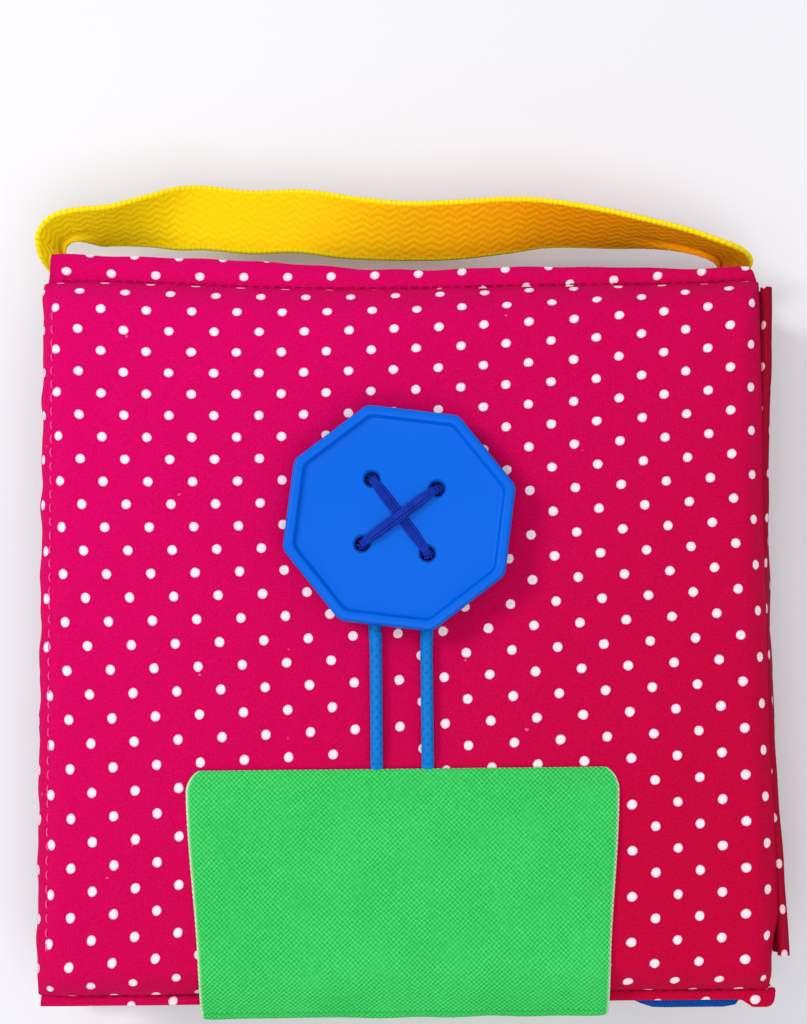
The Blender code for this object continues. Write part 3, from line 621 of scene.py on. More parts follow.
# Painted shade: the spine's and hinges' cloth is a darker copy of the dotted cloth, darker still towards the
# top, standing in for the shade on the board's side
spine_cotton_painted_dark = dotted("spine_cloth", (116, 6, 22), (167, 12, 44), (236, 206, 214))
blue_canvas = canvas("blue_canvas", (18, 96, 196), (4, 44, 116), 0.0008)
green_canvas = canvas(
    "green_canvas", (80, 231, 120), (20, 172, 60), 0.0011, fray=(206, 240, 196)
)
lace_canvas = canvas("lace_panel_canvas", (86, 236, 130), (28, 178, 70), 0.0011, on_cloth=False)
# Each webbing's third colour is the painted highlight on its selvedges
yellow = webbing(
    "yellow_webbing", (255, 222, 4), (252, 200, 0), (255, 232, 20), 0.0075,
    # painted shade on the handle's right half
    painted_shade_colours=((255, 166, 0), (255, 140, 0)),
)
buckle_yellow = webbing(
    "buckle_webbing", (255, 214, 10), (226, 150, 0), (255, 232, 30), 0.00975
)
red_belt = webbing("belt_webbing", (214, 40, 36), (140, 12, 14), (224, 60, 50), 0.010)
red_tab = webbing("tab_webbing", (214, 40, 36), (140, 12, 14), (224, 60, 50), 0.0075)
elastic_blue = cord_finish("elastic_blue", (4, 124, 208), (0, 96, 178), 0.6)
thread_navy = cord_finish("thread_navy", (24, 66, 196), (6, 26, 112), 0.75)
seam_thread = cord_finish("seam_thread", (172, 0, 64), (112, 0, 40), 0.85)
# Painted highlight: the side seam's thread is pale pink, standing in for the highlights on the left edge's
# puckers
pink_highlight_thread = cord_finish("pink_highlight_thread", (246, 100, 176), (214, 20, 110), 0.8)
blue_thread = cord_finish("blue_thread", (70, 130, 214), (10, 50, 130), 0.85)
green_thread = cord_finish("green_thread", (96, 236, 140), (24, 150, 60), 0.8)
red_thread = cord_finish("red_thread", (190, 30, 30), (96, 6, 8), 0.8)
gold_thread = cord_finish("gold_thread", (255, 220, 60), (196, 130, 0), 0.8)
lace_white = cord_finish("lace_white", (244, 244, 240), (176, 176, 170), 0.75)
button_blue = plastic("button_blue", (0, 100, 217), (0, 90, 204), 0.36, 900.0)
black_plastic = plastic("black_plastic", (26, 26, 28), (16, 16, 18), 0.42, 1400.0)
steel = metal("steel")

# The print's rows follow the cloth, which is laid a little askew: cubic terms in x and y, in
# steps of 100 mm, give the row and column of the dots
print_terms = [(0, 0), (0, 1), (0, 2), (0, 3), (1, 0), (1, 1), (1, 2), (2, 0), (2, 1), (3, 0)]
print_columns = [-0.307, 0.1721, 0.0674, -0.4459, 10.3425, -0.1935, -0.0644, -0.2807, 0.4132, -0.1587]
print_rows = [-5.3565, 9.9812, 0.2472, 0.4879, -0.4605, 0.3014, -0.1866, -0.2006, -0.5608, 0.1137]
hem_print_shift = {"top_hem": vec(0, -0.07), "bottom_hem": vec(-0.28, 0.03)}


def print_places(x, y):
    """Row and column of the dot print at a place on the cloth."""
    a, b = x / 0.1, y / 0.1
    powers = [a**i * b**j for i, j in print_terms]
    return joined(*[sum(k * p for k, p in zip(line, powers)) for line in (print_columns, print_rows)])


def add_print(made, lattice):
    """Store the print's coordinates on a mesh, repeated for its inner face."""
    lattice = lattice.reshape(-1, 2)
    number = len(made.data.vertices)
    store(made.data, "print", np.concatenate([lattice] * (number // len(lattice))))


# Outlines of the front cover's upper seam and upper edge, read along X
seam_x = vec(-0.0805, -0.0687, -0.0574, -0.046, -0.0347, -0.0233, -0.012, 0.0002, 0.0107,
             0.022, 0.0334, 0.0447, 0.056, 0.0674, 0.0776, 0.0801)
seam_y = vec(0.0791, 0.079, 0.0786, 0.0779, 0.0773, 0.0769, 0.0767, 0.0766, 0.0767,
             0.0769, 0.077, 0.0771, 0.0771, 0.0772, 0.0777, 0.0779)
edge_x = vec(-0.08, -0.0688, -0.0574, -0.0461, -0.0347, -0.0233, -0.012, 0.0003, 0.0107,
             0.0221, 0.0335, 0.0448, 0.0562, 0.0676, 0.0766, 0.0794)
edge_y = vec(0.0862, 0.0854, 0.0851, 0.0845, 0.084, 0.083, 0.082, 0.0813, 0.0815,
             0.0819, 0.0819, 0.0816, 0.0815, 0.0808, 0.0815, 0.0816)
hem_end = 0.0796


def cover_columns():
    """Places across a cover: flat X, then how far round each side the cloth has rolled."""
    core = half_width - edge_round
    middle = np.linspace(-core, core, 101)
    turns = np.radians([*np.arange(4.5, 54.1, 4.5), 63, 72, 81, 90, 100])
    flat = np.concatenate([middle[0] - edge_round * turns[::-1], middle, middle[-1] + edge_round * turns])
    return flat, np.concatenate([-turns[::-1], np.zeros(len(middle)), turns])


def cover_grid(front):
    """Places, flat cloth places and print places of a cover's outer cloth, and its top seam."""
    flat_x, turn = cover_columns()
    right, left, way = turn > 0, turn < 0, np.sign(turn)
    core = half_width - edge_round
    x_core = np.clip(flat_x, -core, core)
    share_x = np.cos(turn)
    out = np.abs(turn) / turn.max()
    hem_out = np.sin(1.4 * out) / sin(1.4)
    x_hem = x_core + (way * (hem_end - core) + 0.0006 * right - 0.0010 * left) * hem_out

    seam, low_seam, edge, low_edge = [
        np.full_like(x_hem, y) for y in (body_top, body_bottom, half_height, -half_height)
    ]
    if front:
        seam = smooth_line(x_hem, seam_x, seam_y)
        edge = smooth_line(x_hem, edge_x, edge_y) + 0.00012 * waves(x_hem, 0 * x_hem, 0.012, 3)
        edge -= 0.0008 * quarter((x_hem - 0.0788) / 0.0012)
        low_edge += 0.0017 * ease((0.0752 - x_hem) / 0.0035) - 0.0008
        low_edge += 0.0022 * quarter((x_hem - 0.0780) / 0.0022)

    def rolled(line, sign, angle):
        longer = sign * edge_round * (pi / 2 - angle - cos(angle))
        return "body", angle, line - sign * edge_round * (1 - cos(angle)), sin(angle), longer

    # Rows from the top edge down: kind, share, Y, how far the padding stands and how much
    # further the cloth has come than Y
    angles = np.radians([8, 16, 25, 35, 45, 55, 66, 78, 90])
    high, low = seam - edge_round, low_seam + edge_round
    rows = [("top_hem", s, edge + (seam - edge) * s, 0.0, 0.0) for s in np.linspace(0, 1, 7)]
    rows += [rolled(seam, 1, angle) for angle in angles]
    rows += [("body", s, high + (low - high) * s, 1.0, 0.0) for s in np.linspace(0, 1, 105)[1:-1]]
    rows += [rolled(low_seam, -1, angle) for angle in angles[::-1]]
    rows += [
        ("bottom_hem", s, low_seam + (low_edge - low_seam) * s, 0.0, 0.0) for s in np.linspace(0, 1, 5)
    ]

    places, cloth, lattice = [], [], []
    for kind, share, y, rise, longer in rows:
        right_bulge = 0.0066 - 0.0022 * ease((-0.062 - y) / 0.011)
        right_bulge -= 0.0005 * ease((0.050 - y) / 0.03) * ease((y + 0.050) / 0.03)
        fuller = np.where(right, 0.88, 1.0)
        x_body = x_core + way * np.where(right, right_bulge, 0.0074) * np.sin(np.abs(turn)) ** fuller
        x = x_hem + (x_body - x_hem) * ease(min(1.0, rise * 3.0))
        crown = front_crown * (1 - (x / half_width) ** 2) * (1 - (y / half_height) ** 2)
        level_x = np.where(right, np.sign(share_x) * np.abs(share_x) ** 0.86, share_x)
        level = (pad_rise + (crown if front else 0.0)) * rise * level_x
        lip = np.exp(-(((-x - 0.0783) / 0.00042) ** 2)) * rise
        crimp = np.exp(-(((-x - 0.0793) / 0.0009) ** 2)) * rise
        level += 0.00026 * crimp * waves(y, 0 * y, 0.0052, 19) - 0.00038 * lip
        if kind == "top_hem":
            level += 0.00035 * sin(pi * share) - 0.0004 * (share < 0.01)
            x = x + (left * 0.0008 - right * 0.0009) * hem_out * (1 - share)
        if kind == "bottom_hem":
            level += 0.00035 * sin(pi * share) - 0.0004 * (share > 0.99)
            x = x - right * 0.0006 * hem_out
        x = x + 0.00024 * waves(y, 0 * y, 0.010, 17) * ease((out - 0.2) / 0.3) * left
        near_seam = np.exp(-np.minimum(np.abs(y - seam), np.abs(y - low_seam)) / 0.005)
        level += 0.00022 * near_seam * waves(x, y * 0.3, 0.011, 11) * (1 if rise else 0.6)
        level += 0.00018 * waves(x, y, 0.045, 5) * rise * np.maximum(share_x, 0)
        places.append(joined(x, y, level))
        flat_y = y + longer
        cloth.append(joined(flat_x, flat_y))
        spread_x = 0.985 * (x_core + edge_round * np.clip(turn, -2.0, 1.05))
        drawn_in = 0.0007 + 0.0012 * ease((-0.01 - y) / 0.06)
        spread_x += drawn_in * ease((spread_x / 0.985 - 0.05) / 0.022)
        shown = print_places(spread_x if rise else x, flat_y)
        if front:
            shown += hem_print_shift.get(kind, 0)
        lattice.append(shown)
    return np.array(places), np.array(cloth), np.array(lattice), seam


def settle(places, loose):
    """Let a cover's cloth settle by cloth simulation, held along its seams and sides."""
    enlarged, frames, most = 20.0, 20, 0.0005
    flat = places.reshape(-1, 3)
    mesh = bpy.data.meshes.new("settling")
    mesh.from_pydata((flat * enlarged).tolist(), [], grid_faces(*places.shape[:2]))
    thing = bpy.data.objects.new("settling", mesh)
    scene = bpy.context.scene
    scene.collection.objects.link(thing)
    group = thing.vertex_groups.new(name="held")
    for index, share in enumerate((1 - loose).ravel()):
        group.add([index], float(share), "REPLACE")
    cloth = thing.modifiers.new("cloth", "CLOTH")
    for name, value in (
        ("quality", 6), ("mass", 0.1), ("tension_stiffness", 18), ("compression_stiffness", 18),
        ("shear_stiffness", 6), ("bending_stiffness", 0.4), ("vertex_group_mass", "held"),
        ("pin_stiffness", 1.0), ("shrink_min", -0.012), ("use_pressure", True),
        ("uniform_pressure_force", 30.0),
    ):
        setattr(cloth.settings, name, value)
    cloth.settings.effector_weights.gravity = 0.0
    cloth.point_cache.frame_start, cloth.point_cache.frame_end = 1, frames
    for number in range(1, frames + 1):
        scene.frame_set(number)
    shaped = thing.evaluated_get(bpy.context.evaluated_depsgraph_get())
    moved = np.zeros(len(flat) * 3)
    shaped.data.vertices.foreach_get("co", moved)
    scene.frame_set(1)
    move = moved.reshape(-1, 3) / enlarged - flat
    length = np.linalg.norm(move, axis=1)
    move *= (most * np.tanh(length / most) / np.maximum(length, 1e-12))[:, None]
    bpy.data.objects.remove(thing)
    bpy.data.meshes.remove(mesh)
    return places + move.reshape(places.shape) * loose[..., None]


def cover_cloth(side):
    """Make a cover's outer cloth. It may settle everywhere but at its seams, sides and button."""
    places, cloth, lattice, seam = cover_grid(side == "front")
    x, y = places[..., 0], places[..., 1]
    inward = np.minimum(half_width - np.abs(x), np.minimum(body_top - y, y - body_bottom))
    loose = ease((inward - 0.0004) / 0.003)
    if side == "front":
        loose = loose * ease((np.hypot(x - button_x, y - button_y) - 0.006) / 0.02)
    places = settle(places[::-1], loose[::-1])
    if side == "front":
        places[..., 2] += hem_level
        cloth, lattice = cloth[::-1], lattice[::-1]
    else:
        places = places[::-1]
        places[..., 2] = np.maximum(0.0, back_hem_level - places[..., 2])
    made = sheet_of(f"{side}_cover_cloth", places, cloth, 0.0009, cotton)
    add_print(made, lattice)
    fit(made, f"{side}_cover", [f"{side}_cover_fabric", f"{side}_cover_foam"])
    return places, seam


def side_stitches(places):
    """Sew the front cover's left edge, in a pale pink thread whose paleness is a painted highlight on the
    edge's puckers.
    """
    x = -0.0785
    route = [
        (x, row[8, 1], float(np.interp(x, row[2:17, 0], row[2:17, 2])) + 0.00005)
        for row in places if abs(row[60, 1]) < 0.071
    ]
    shape = Shape()
    stitches(shape, even(route, 0.0006), (-0.6, 0, 0.8), side_seam)
    fit(shape.make("front_side_stitches", pink_highlight_thread), "front_cover")


def lining(side, low, high):
    """Make a cover's flat canvas lining with a turned edge."""
    front = side == "front"
    xs, ys = [
        np.concatenate([
            [-half, -half + 0.0004], np.linspace(-half + 0.002, half - 0.002, 60), [half - 0.0004, half],
        ]) for half in (half_width, half_height)
    ]
    x, y = np.meshgrid(xs, ys)
    if front:
        high_edge = np.minimum(smooth_line(xs, edge_x, edge_y) - 0.0012, half_height)
        y = y + (high_edge - half_height)[None] * ease(y / half_height)
        peek = ease((xs - 0.044) / 0.012) * ease((0.0768 - xs) / 0.004)
        y = y + (0.0030 - 0.0038 * peek)[None] * ease(-y / half_height)
    inset = np.minimum(half_width - np.abs(x), half_height - np.abs(y))
    x = x * np.where(x > 0, 0.0782, 0.0797) / half_width
    edge = 0.0003 * (1 - ease(inset / 0.0012))
    ripple = 0.00012 * waves(x, y, 0.03, 21) * ease(inset / 0.01)
    shape = Shape()
    slab(shape, joined(x, y, high - edge + (0 if front else ripple)),
         joined(x, y, low + edge + (ripple if front else 0)), joined(x, y))
    made = shape.make(f"{side}_inner_canvas", blue_canvas)
    fit(made, f"{side}_cover", [f"{side}_cover_lining"])


def hem_stitches(seam):
    """Sew the two hems of each cover."""
    xs, short = np.linspace(-0.0785, 0.0785, 240), np.linspace(-0.0785, 0.0768, 240)
    top = np.interp(xs, np.clip(cover_columns()[0], -hem_end, hem_end), seam) + 0.0006
    for side, level, up, lines in (
        ("front", hem_level + 0.0002, 1, [(xs, top), (short, body_bottom - 0.0004)]),
        ("back", back_hem_level - 0.0002, -1,
         [(short, body_top + 0.0006), (short, body_bottom - 0.0006)]),
    ):
        shape = Shape()
        for x, y in lines:
            stitches(shape, joined(x, y, level), (0, 0, up), hem_seam)
        fit(shape.make(f"{side}_hem_stitches", seam_thread), f"{side}_cover")


def page_stitches():
    """Sew the borders of the inner pages and the long edges of the spine's lining."""
    for side, half, level, up in (("back", 0.0792, back_page, 1), ("front", 0.0768, front_page, -1)):
        shape = Shape()
        sew_box(shape, (-0.0772, -half), (0.0758, half), level, up, page_seam)
        fit(shape.make(f"{side}_page_stitches", blue_thread), f"{side}_cover")
    shape = Shape()
    ys = np.linspace(-0.070, 0.074, 280)
    for z in (0.0078, 0.0282):
        stitches(shape, joined(spine_face(ys, z), ys, z), (-1, 0, 0), page_seam)
    fit(shape.make("spine_page_stitches", blue_thread), "spine")


# Spine, which leans in to the front cover
lean_y = [-0.070, -0.056, -0.042, -0.032, -0.022, -0.004, 0.004, 0.016, 0.030, 0.045, 0.060, 0.076]
lean_x = [0.0822, 0.0817, 0.0809, 0.0806, 0.0803, 0.0797, 0.0796, 0.0801, 0.0806, 0.0813, 0.0823, 0.0829]


def spine_height(z):
    """Share of the way from the spine's upright foot to its front edge."""
    return ease((z - 0.010) / 0.020)


def spine_lean(y, z):
    """How far the spine leans in to the front cover at a height, along the board."""
    return (smooth_line(y, lean_y, lean_x) - 0.0839) * spine_height(z)


def spine_face(y, z):
    """The spine's inner face in X: the spine gets thinner to the front cover."""
    return 0.0814 + spine_lean(y, z) + 0.0010 * spine_height(z)


def spine_pieces():
    """Make the spine's cloth and its lining."""
    low, high = spine_low_y, spine_high_y
    middle, radius = 0.0826, 0.0013
    low_z, high_z = 0.0055, 0.0305

    def cap(angles, z):
        turn = np.radians(angles)
        return joined(middle + radius * np.cos(turn), z + radius * np.sin(turn))

    section = np.concatenate([
        cap(np.arange(-165, 1, 11), low_z),
        joined(middle + radius, low_z + (high_z - low_z) * np.linspace(0.04, 0.96, 24)),
        cap(np.arange(0, 166, 11), high_z),
    ])
    ys = np.linspace(low, high, 90)
    lengths = reach_of(section)
    places = joined(section[None, :, 0], ys[:, None], section[None, :, 1])
    x, y, z = places[..., 0], places[..., 1], places[..., 2]
    inside = np.minimum(ys - low, high - ys)[:, None]
    x += 0.00022 * waves(y, z, 0.022, 31) * ease(inside / 0.004) * (x > middle)
    outer = middle + radius
    x[:] = outer - (outer - x) * (1 - 0.4 * spine_height(z)) + spine_lean(y, z)
    # The spine's cloth takes the darker, painted-shade copy of the print
    made = sheet_of("spine_cloth", places, joined(lengths[None], ys[:, None]), 0.0006, spine_cotton_painted_dark)
    drift = np.interp(ys, [-0.06, 0.0, 0.02, 0.05], [-0.0008, 0.0022, 0.0020, -0.0006])[:, None]
    come = lengths[::-1][None]
    add_print(made, print_places(half_width + drift + come + np.minimum(come, 0.0037), ys[:, None]))
    fit(made, "spine", ["spine_fabric", "spine_foam"])

    y, z = np.meshgrid(np.linspace(low + 0.0002, high - 0.0002, 60), np.linspace(0.0057, 0.0303, 20))
    face = joined(spine_face(y, z), y, z)
    shape = Shape()
    slab(shape, face + vec(0.0004, 0, 0), face, joined(y, z))
    made = fit(shape.make("spine_inner_canvas", blue_canvas), "spine", ["spine_lining"])


def bridge_pieces():
    """Make the curved strips of cloth that join the covers to the spine at the hinges."""
    ys = np.linspace(-0.0715, 0.0755, 80)[:, None]
    step = 0.00025
    for side, points, start, end in (
        ("front", [(0.0783, 0.0284), (0.0796, 0.0283), (0.0806, 0.0290), (0.0811, 0.0300)],
         (0.0811, 0, 0.0299), (0.0800, 0, 0.0284)),
        ("back", [(0.0783, 0.0076), (0.0800, 0.0072), (0.0812, 0.0067), (0.0820, 0.0062)],
         (0.0800, 0, 0.0072), (0.0817, 0, 0.0064)),
    ):
        path = even(spline([(x, 0, z) for x, z in points], 6), step)
        places = joined(path[None, :, 0], ys, path[None, :, 2])
        if side == "front":
            lean = spine_lean(places[..., 1], places[..., 2]) + 0.0010
            places[..., 0] += lean * ease(np.linspace(0, 1, len(path)))
        flat = joined(np.arange(len(path))[None] * step, ys)
        made = sheet_of(f"{side}_hinge_cloth", places, flat, 0.0005, spine_cotton_painted_dark)
        add_print(made, print_places(0.083 + flat[..., 0], flat[..., 1]))
        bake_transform(made)


front_places, front_seam = cover_cloth("front")
side_stitches(front_places)
cover_cloth("back")
lining("front", front_page, front_page + 0.001)
lining("back", back_page - 0.001, back_page)
hem_stitches(front_seam)
page_stitches()
spine_pieces()
bridge_pieces()


# Flap
def flap_pieces():
    """Make the flap's canvas: the part that comes over the cover and the upright part."""
    edge = -half_height - 0.0004
    thick, half, bend = 0.0015, 0.0935 / 2, 0.0022
    root = edge - thick / 2
    outer = edge - thick
    shoulder = body_bottom + edge_round
    corner, corner_x = 0.0044, 0.0032
    straight = flap_top - corner
    bend_z = 0.0305
    across = np.concatenate([[-1, -0.992, -0.975], np.linspace(-0.95, 0.95, 44), [0.975, 0.992, 1]])

    def xs_at(y):
        width = half + 0.0001 - 0.0027 * ease((flap_top - 0.0025 - y) / 0.045)
        rise = np.clip((y - straight) / corner, 0, 1)
        return flap_middle + across * (width - corner_x * (1 - np.sqrt(1 - rise * rise)) ** 0.8)

    def over_cover(y):
        x = xs_at(y)
        front = front_surface(x, np.maximum(y, shoulder)) + 0.0004 + thick
        start = bend_z + bend
        rise = np.sin(pi / 2 * np.clip((y - root) / (shoulder - root), 0, 1))
        return joined(x, y, start + (front - start) * rise)

    def canvas_piece(name, node, upper, worn, wave=0.0, relief=None):
        lengths = reach_of(upper[:, 25])
        normal = normals_of(upper)
        inset = 0.0006 * worn
        shape = Shape()
        slab(shape, upper - normal * (inset - wave)[..., None],
             upper - normal * (thick - inset * 0.9)[..., None],
             joined(upper[..., 0], lengths[:, None]), relief)
        return fit(shape.make(name, green_canvas), None, [node]), float(lengths[-1])

    front_rows = np.concatenate([
        np.linspace(root + 0.0009, shoulder, 12), np.linspace(shoulder, straight, 34)[1:],
        straight + corner * np.sin(np.radians([12, 24, 36, 48, 60, 72, 82, 90])),
    ])
    root_xs = xs_at(root)
    upper = [joined(root_xs, outer, z) for z in np.linspace(0.0185, 0.0298, 10)]
    upper += [
        joined(root_xs, outer + bend * (1 + cos(a)), bend_z + bend * sin(a))
        for a in np.radians(np.linspace(180, 100, 8))[1:]
    ]
    upper = np.array(upper + [over_cover(y) for y in front_rows])
    side = np.minimum(np.arange(upper.shape[1]), np.arange(upper.shape[1])[::-1])
    near_side = vec(1.0, 0.45, 0.12, 0.0)[np.minimum(side, 3)]
    near_top = vec(1.0, 0.4, 0.1, 0.0)[np.minimum(np.arange(len(upper))[::-1], 3)]
    worn = np.maximum(near_side[None, :], near_top[:, None])
    wave = 0.00014 * waves(upper[..., 0], upper[..., 1] + upper[..., 2], 0.02, 41) * (1 - worn)
    made, length = canvas_piece("flap_canvas", "flap_front", upper, worn, wave, 1 - worn)
    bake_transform(made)

    toe = 0.0016
    upper = [
        joined(root_xs, outer + toe - toe * cos(a), 0.0079 + toe + toe * sin(a))
        for a in np.radians(np.linspace(-90, 0, 7))
    ]
    upper = np.array(upper + [joined(root_xs, outer, z) for z in np.linspace(0.0098, 0.0185, 9)])
    worn = np.broadcast_to(near_side, upper.shape[:2])
    made, length = canvas_piece("flap_root_canvas", "flap_base", upper, worn)
    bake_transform(made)


flap_pieces()


# Button, its threads and the elastic
def way(degrees):
    """The direction at an angle in the board's plane."""
    return vec(cos(radians(degrees)), sin(radians(degrees)))


button_holes = [vec(button_x, button_y) + hole_ring * way(36 + 90 * k) for k in range(4)]


def octagon(turn, radius, corner):
    """Outline of an octagon with rounded corners."""
    points = []
    corners = [way(turn + 45 * k) * radius for k in range(8)]
    cut = corner * sin(radians(22.5)) / cos(radians(22.5))
    for k in range(8):
        at, after = corners[k], corners[(k + 1) % 8]
        points += arc(corners[k - 1], at, after, corner, 6)
        ahead = unit(after - at)
        start, end = at + ahead * cut, after - ahead * cut
        points += [start + (end - start) * share for share in (0.2, 0.4, 0.6, 0.8)]
    return np.array(points)


def button_piece():
    """Make the moulded button: a thick rim round a sunk face with four flared holes."""
    low, top, face = button_level, button_top, button_floor
    rings = []
    for inset, z in (
        (0.0007, low), (0.0002, low + 0.0002), (0.0, low + 0.0008), (0.0, top - 0.0012),
        (0.0001, top - 0.0006), (0.0003, top - 0.00022), (0.0006, top - 0.00005), (0.0010, top),
        (0.0018, top), (0.00205, top - 0.00008), (0.0022, top - 0.0003), (0.00234, top - 0.0007),
        (0.00252, face + 0.0004), (0.0026, face + 0.0002), (0.0028, face + 0.00005),
        (0.0031, face), (0.006, face),
    ):
        outline = octagon(15.0, button_radius - inset / cos(radians(22.5)), 0.0028)
        rings.append(joined(outline[:, 0] * 1.013 + button_x - 0.0001,
                            outline[:, 1] * 0.988 + button_y - 0.0003, z))
    shape = Shape()
    pile(shape, np.array(rings))
    made = shape.make("button_plate", button_blue, 38.0)
    hole = [
        (0.0024, face + 0.002), (0.00225, face + 0.0001), (0.002, face - 0.0001),
        (0.00172, face - 0.0004), (0.0016, face - 0.0009), (0.0016, low + 0.0005),
        (0.0019, low - 0.0001), (0.0019, low - 0.002),
    ]
    for index, (x, y) in enumerate(button_holes):
        cutter = Shape()
        pile(cutter, turned(hole, (x, y, 0.0), 32), flip=True)
        cut_with(made, cutter, f"button_hole_tool_{index + 1}", button_blue)
    smooth(made.data, 38.0)
    fit(made, "button", ["button"])


def thread_pieces():
    """Make the two bundles of thread that cross on the button's face, and fill its holes."""
    source = np.random.default_rng(7)
    strands = [(-0.8, 0.0), (-0.4, 0.0), (0.0, 0.0), (0.4, 0.0), (0.8, 0.0),
               (-0.6, 0.75), (-0.2, 0.8), (0.2, 0.8), (0.6, 0.75)]
    fillers = 14
    for which, first, second, raised, sag in (
        ("under", button_holes[1], button_holes[3], 0.0, 0.0),
        ("over", button_holes[0], button_holes[2], 0.00105, 0.001296),
    ):
        span = np.linalg.norm(second - first)
        ahead = (second - first) / span
        side = vec(-ahead[1], ahead[0])
        shape = Shape()
        for sideways, layer in strands:
            offset = sideways * 0.0012 + source.uniform(-0.00008, 0.00008)
            lift = 0.00032 + layer * 0.00044 + raised
            bow = source.uniform(-0.00015, 0.00015)
            knots = [(-0.0002, -0.0034, 0.35), (-0.0002, -0.0008, 0.4), (0.00035, 0.00005, 0.55),
                     (0.0014, lift * 0.75, 0.75)]
            path = knots + [
                (span * share, lift - sag * abs(share - 0.5), 1.0) for share in (0.25, 0.38, 0.5, 0.62, 0.75)
            ] + [(span - reach, height, pull) for reach, height, pull in reversed(knots)]
            points = []
            for reach, height, pull in path:
                flat = first + ahead * reach + side * (offset * pull + bow * sin(pi * reach / span))
                points.append((*flat, button_floor + height))
            tube(shape, spline(points, 4), 0.00026, sides=8, braid=0.16, pitch=0.0011, strands=4)
        for hole in (first, second):
            for index in range(fillers):
                angle, reach = 2.4 * index, 0.00125 * sqrt((index + 0.5) / fillers)
                foot = hole + vec(cos(angle), sin(angle)) * reach
                head = hole + vec(cos(angle + 0.5), sin(angle + 0.5)) * reach * 0.9
                tube(shape, np.array([
                    (*foot, button_floor - 0.0034), (*((foot + head) / 2), button_floor - 0.0026),
                    (*head, button_floor - 0.0019),
                ]), 0.00028, sides=8)
        fit(shape.make(f"thread_bundle_{which}", thread_navy), "button",
            [f"button_thread_{which}"])


def elastic_piece():
    """Make the elastic: both ends under the flap's edge and the loop round the threads."""
    thick, spread, gap = 0.0027, 0.0055, 0.00035
    ring = hole_ring + 0.001 + thick / 2 + gap
    neck_y = button_y - button_radius
    leave = -50
    tangent_x, tangent_y = ring * way(leave) + vec(0, button_y)
    sewn = [
        (spread, y, float(front_surface(button_x + spread, y)) + 0.00115)
        for y in (flap_top - 0.0034, flap_top - 0.0012, flap_top + 0.0011)
    ]
    route = [(spread, flap_top + 0.0045), (spread, (flap_top + button_y) / 4),
             (spread, neck_y - thick), ((spread * 3 + tangent_x) / 4, (neck_y + tangent_y) / 2)]
    loop = [ring * way(leave + (180 - 2 * leave) * k / 12) + vec(0, button_y) for k in range(13)]
    flat = [*route, *loop, *[(-x, y) for x, y in reversed(route)]]
    points = [
        *sewn, *[(x, y, float(front_surface(button_x + x, y)) + gap + thick / 2) for x, y in flat],
        *[(-x, y, z) for x, y, z in reversed(sewn)],
    ]
    path = even(spline(np.array(points) + vec(button_x, 0, 0), 6), 0.0002)
    from_end = np.minimum(np.arange(len(path)), np.arange(len(path))[::-1]) * 0.0002
    shape = Shape()
    tube(shape, path, thick / 2, sides=20, braid=0.03, pitch=0.0022, strands=16,
         flatten=0.48 + 0.52 * ease((from_end - 0.0044) / 0.004))
    made = shape.make("elastic_cord", elastic_blue, 180.0)
    fit(made, "flap_front", ["elastic_loop"])
    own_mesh(made)


button_piece()
thread_pieces()
elastic_piece()


# Webbing
def strap(shape, centres, sides, half, thickness, depth, pitch, row, herringbone=False, gather=None):
    """Add webbing along a route: its weave stands out on both faces. Gather draws one edge in."""
    tangents = np.gradient(centres, axis=0)
    tangents /= np.linalg.norm(tangents, axis=1, keepdims=True)
    normals = np.cross(sides, tangents)
    normals /= np.linalg.norm(normals, axis=1, keepdims=True)
    across = np.linspace(-half, half, int(round(2 * half / 0.00028)))
    s, t = np.meshgrid(reach_of(centres), across, indexing="ij")
    if herringbone:
        drift = 0.05 * waves(s, t, 0.004, 61)
        turn = (s / pitch + drift) % 1.0
        zigzag = 2 * np.abs(turn - 0.5) * 2 - 1
        phase = t / row + 0.40 * zigzag + drift
        ridge = np.abs(np.sin(pi * phase)) ** 0.9
        yarn = 0.5 + 0.5 * np.cos(2 * pi * (s / (pitch / 4) + 0.5 * np.floor(phase)))
        lump = 0.5 + 0.5 * np.clip(waves(s, t, 0.0022, 62), -1, 1)
        relief = ridge * (0.52 + 0.26 * yarn + 0.22 * lump)
    else:
        checker = (np.floor(t / row) % 2) * 0.5
        rib = 0.45 + 0.55 * np.abs(np.sin(pi * (s / pitch + checker)))
        relief = np.abs(np.sin(pi * t / row)) ** 0.6 * rib
    edge = np.clip((half - np.abs(t)) / 0.0009, 0, 1)
    rim = np.sqrt(1 - (1 - edge) ** 2)
    selvedge = 0.5 + 0.5 * np.abs(np.sin(pi * s / 0.0012 + np.sign(t)))
    relief = np.where(edge < 1, selvedge, relief)
    level = (thickness / 2 - depth) * (0.25 + 0.75 * rim) + depth * relief * (0.3 + 0.7 * rim)
    shown, fold = t, 0 * t
    if gather is not None:
        inner = np.clip(-t / half, 0, 1)
        shown = t + gather[:, None] * inner * half
        fold = gather[:, None] * 0.0013 * np.sin(2 * pi * inner)
    base = centres[:, None] + sides[:, None] * shown[..., None] + normals[:, None] * fold[..., None]
    rise = normals[:, None] * level[..., None]
    slab(shape, base + rise, base - rise, joined(s, t), relief)


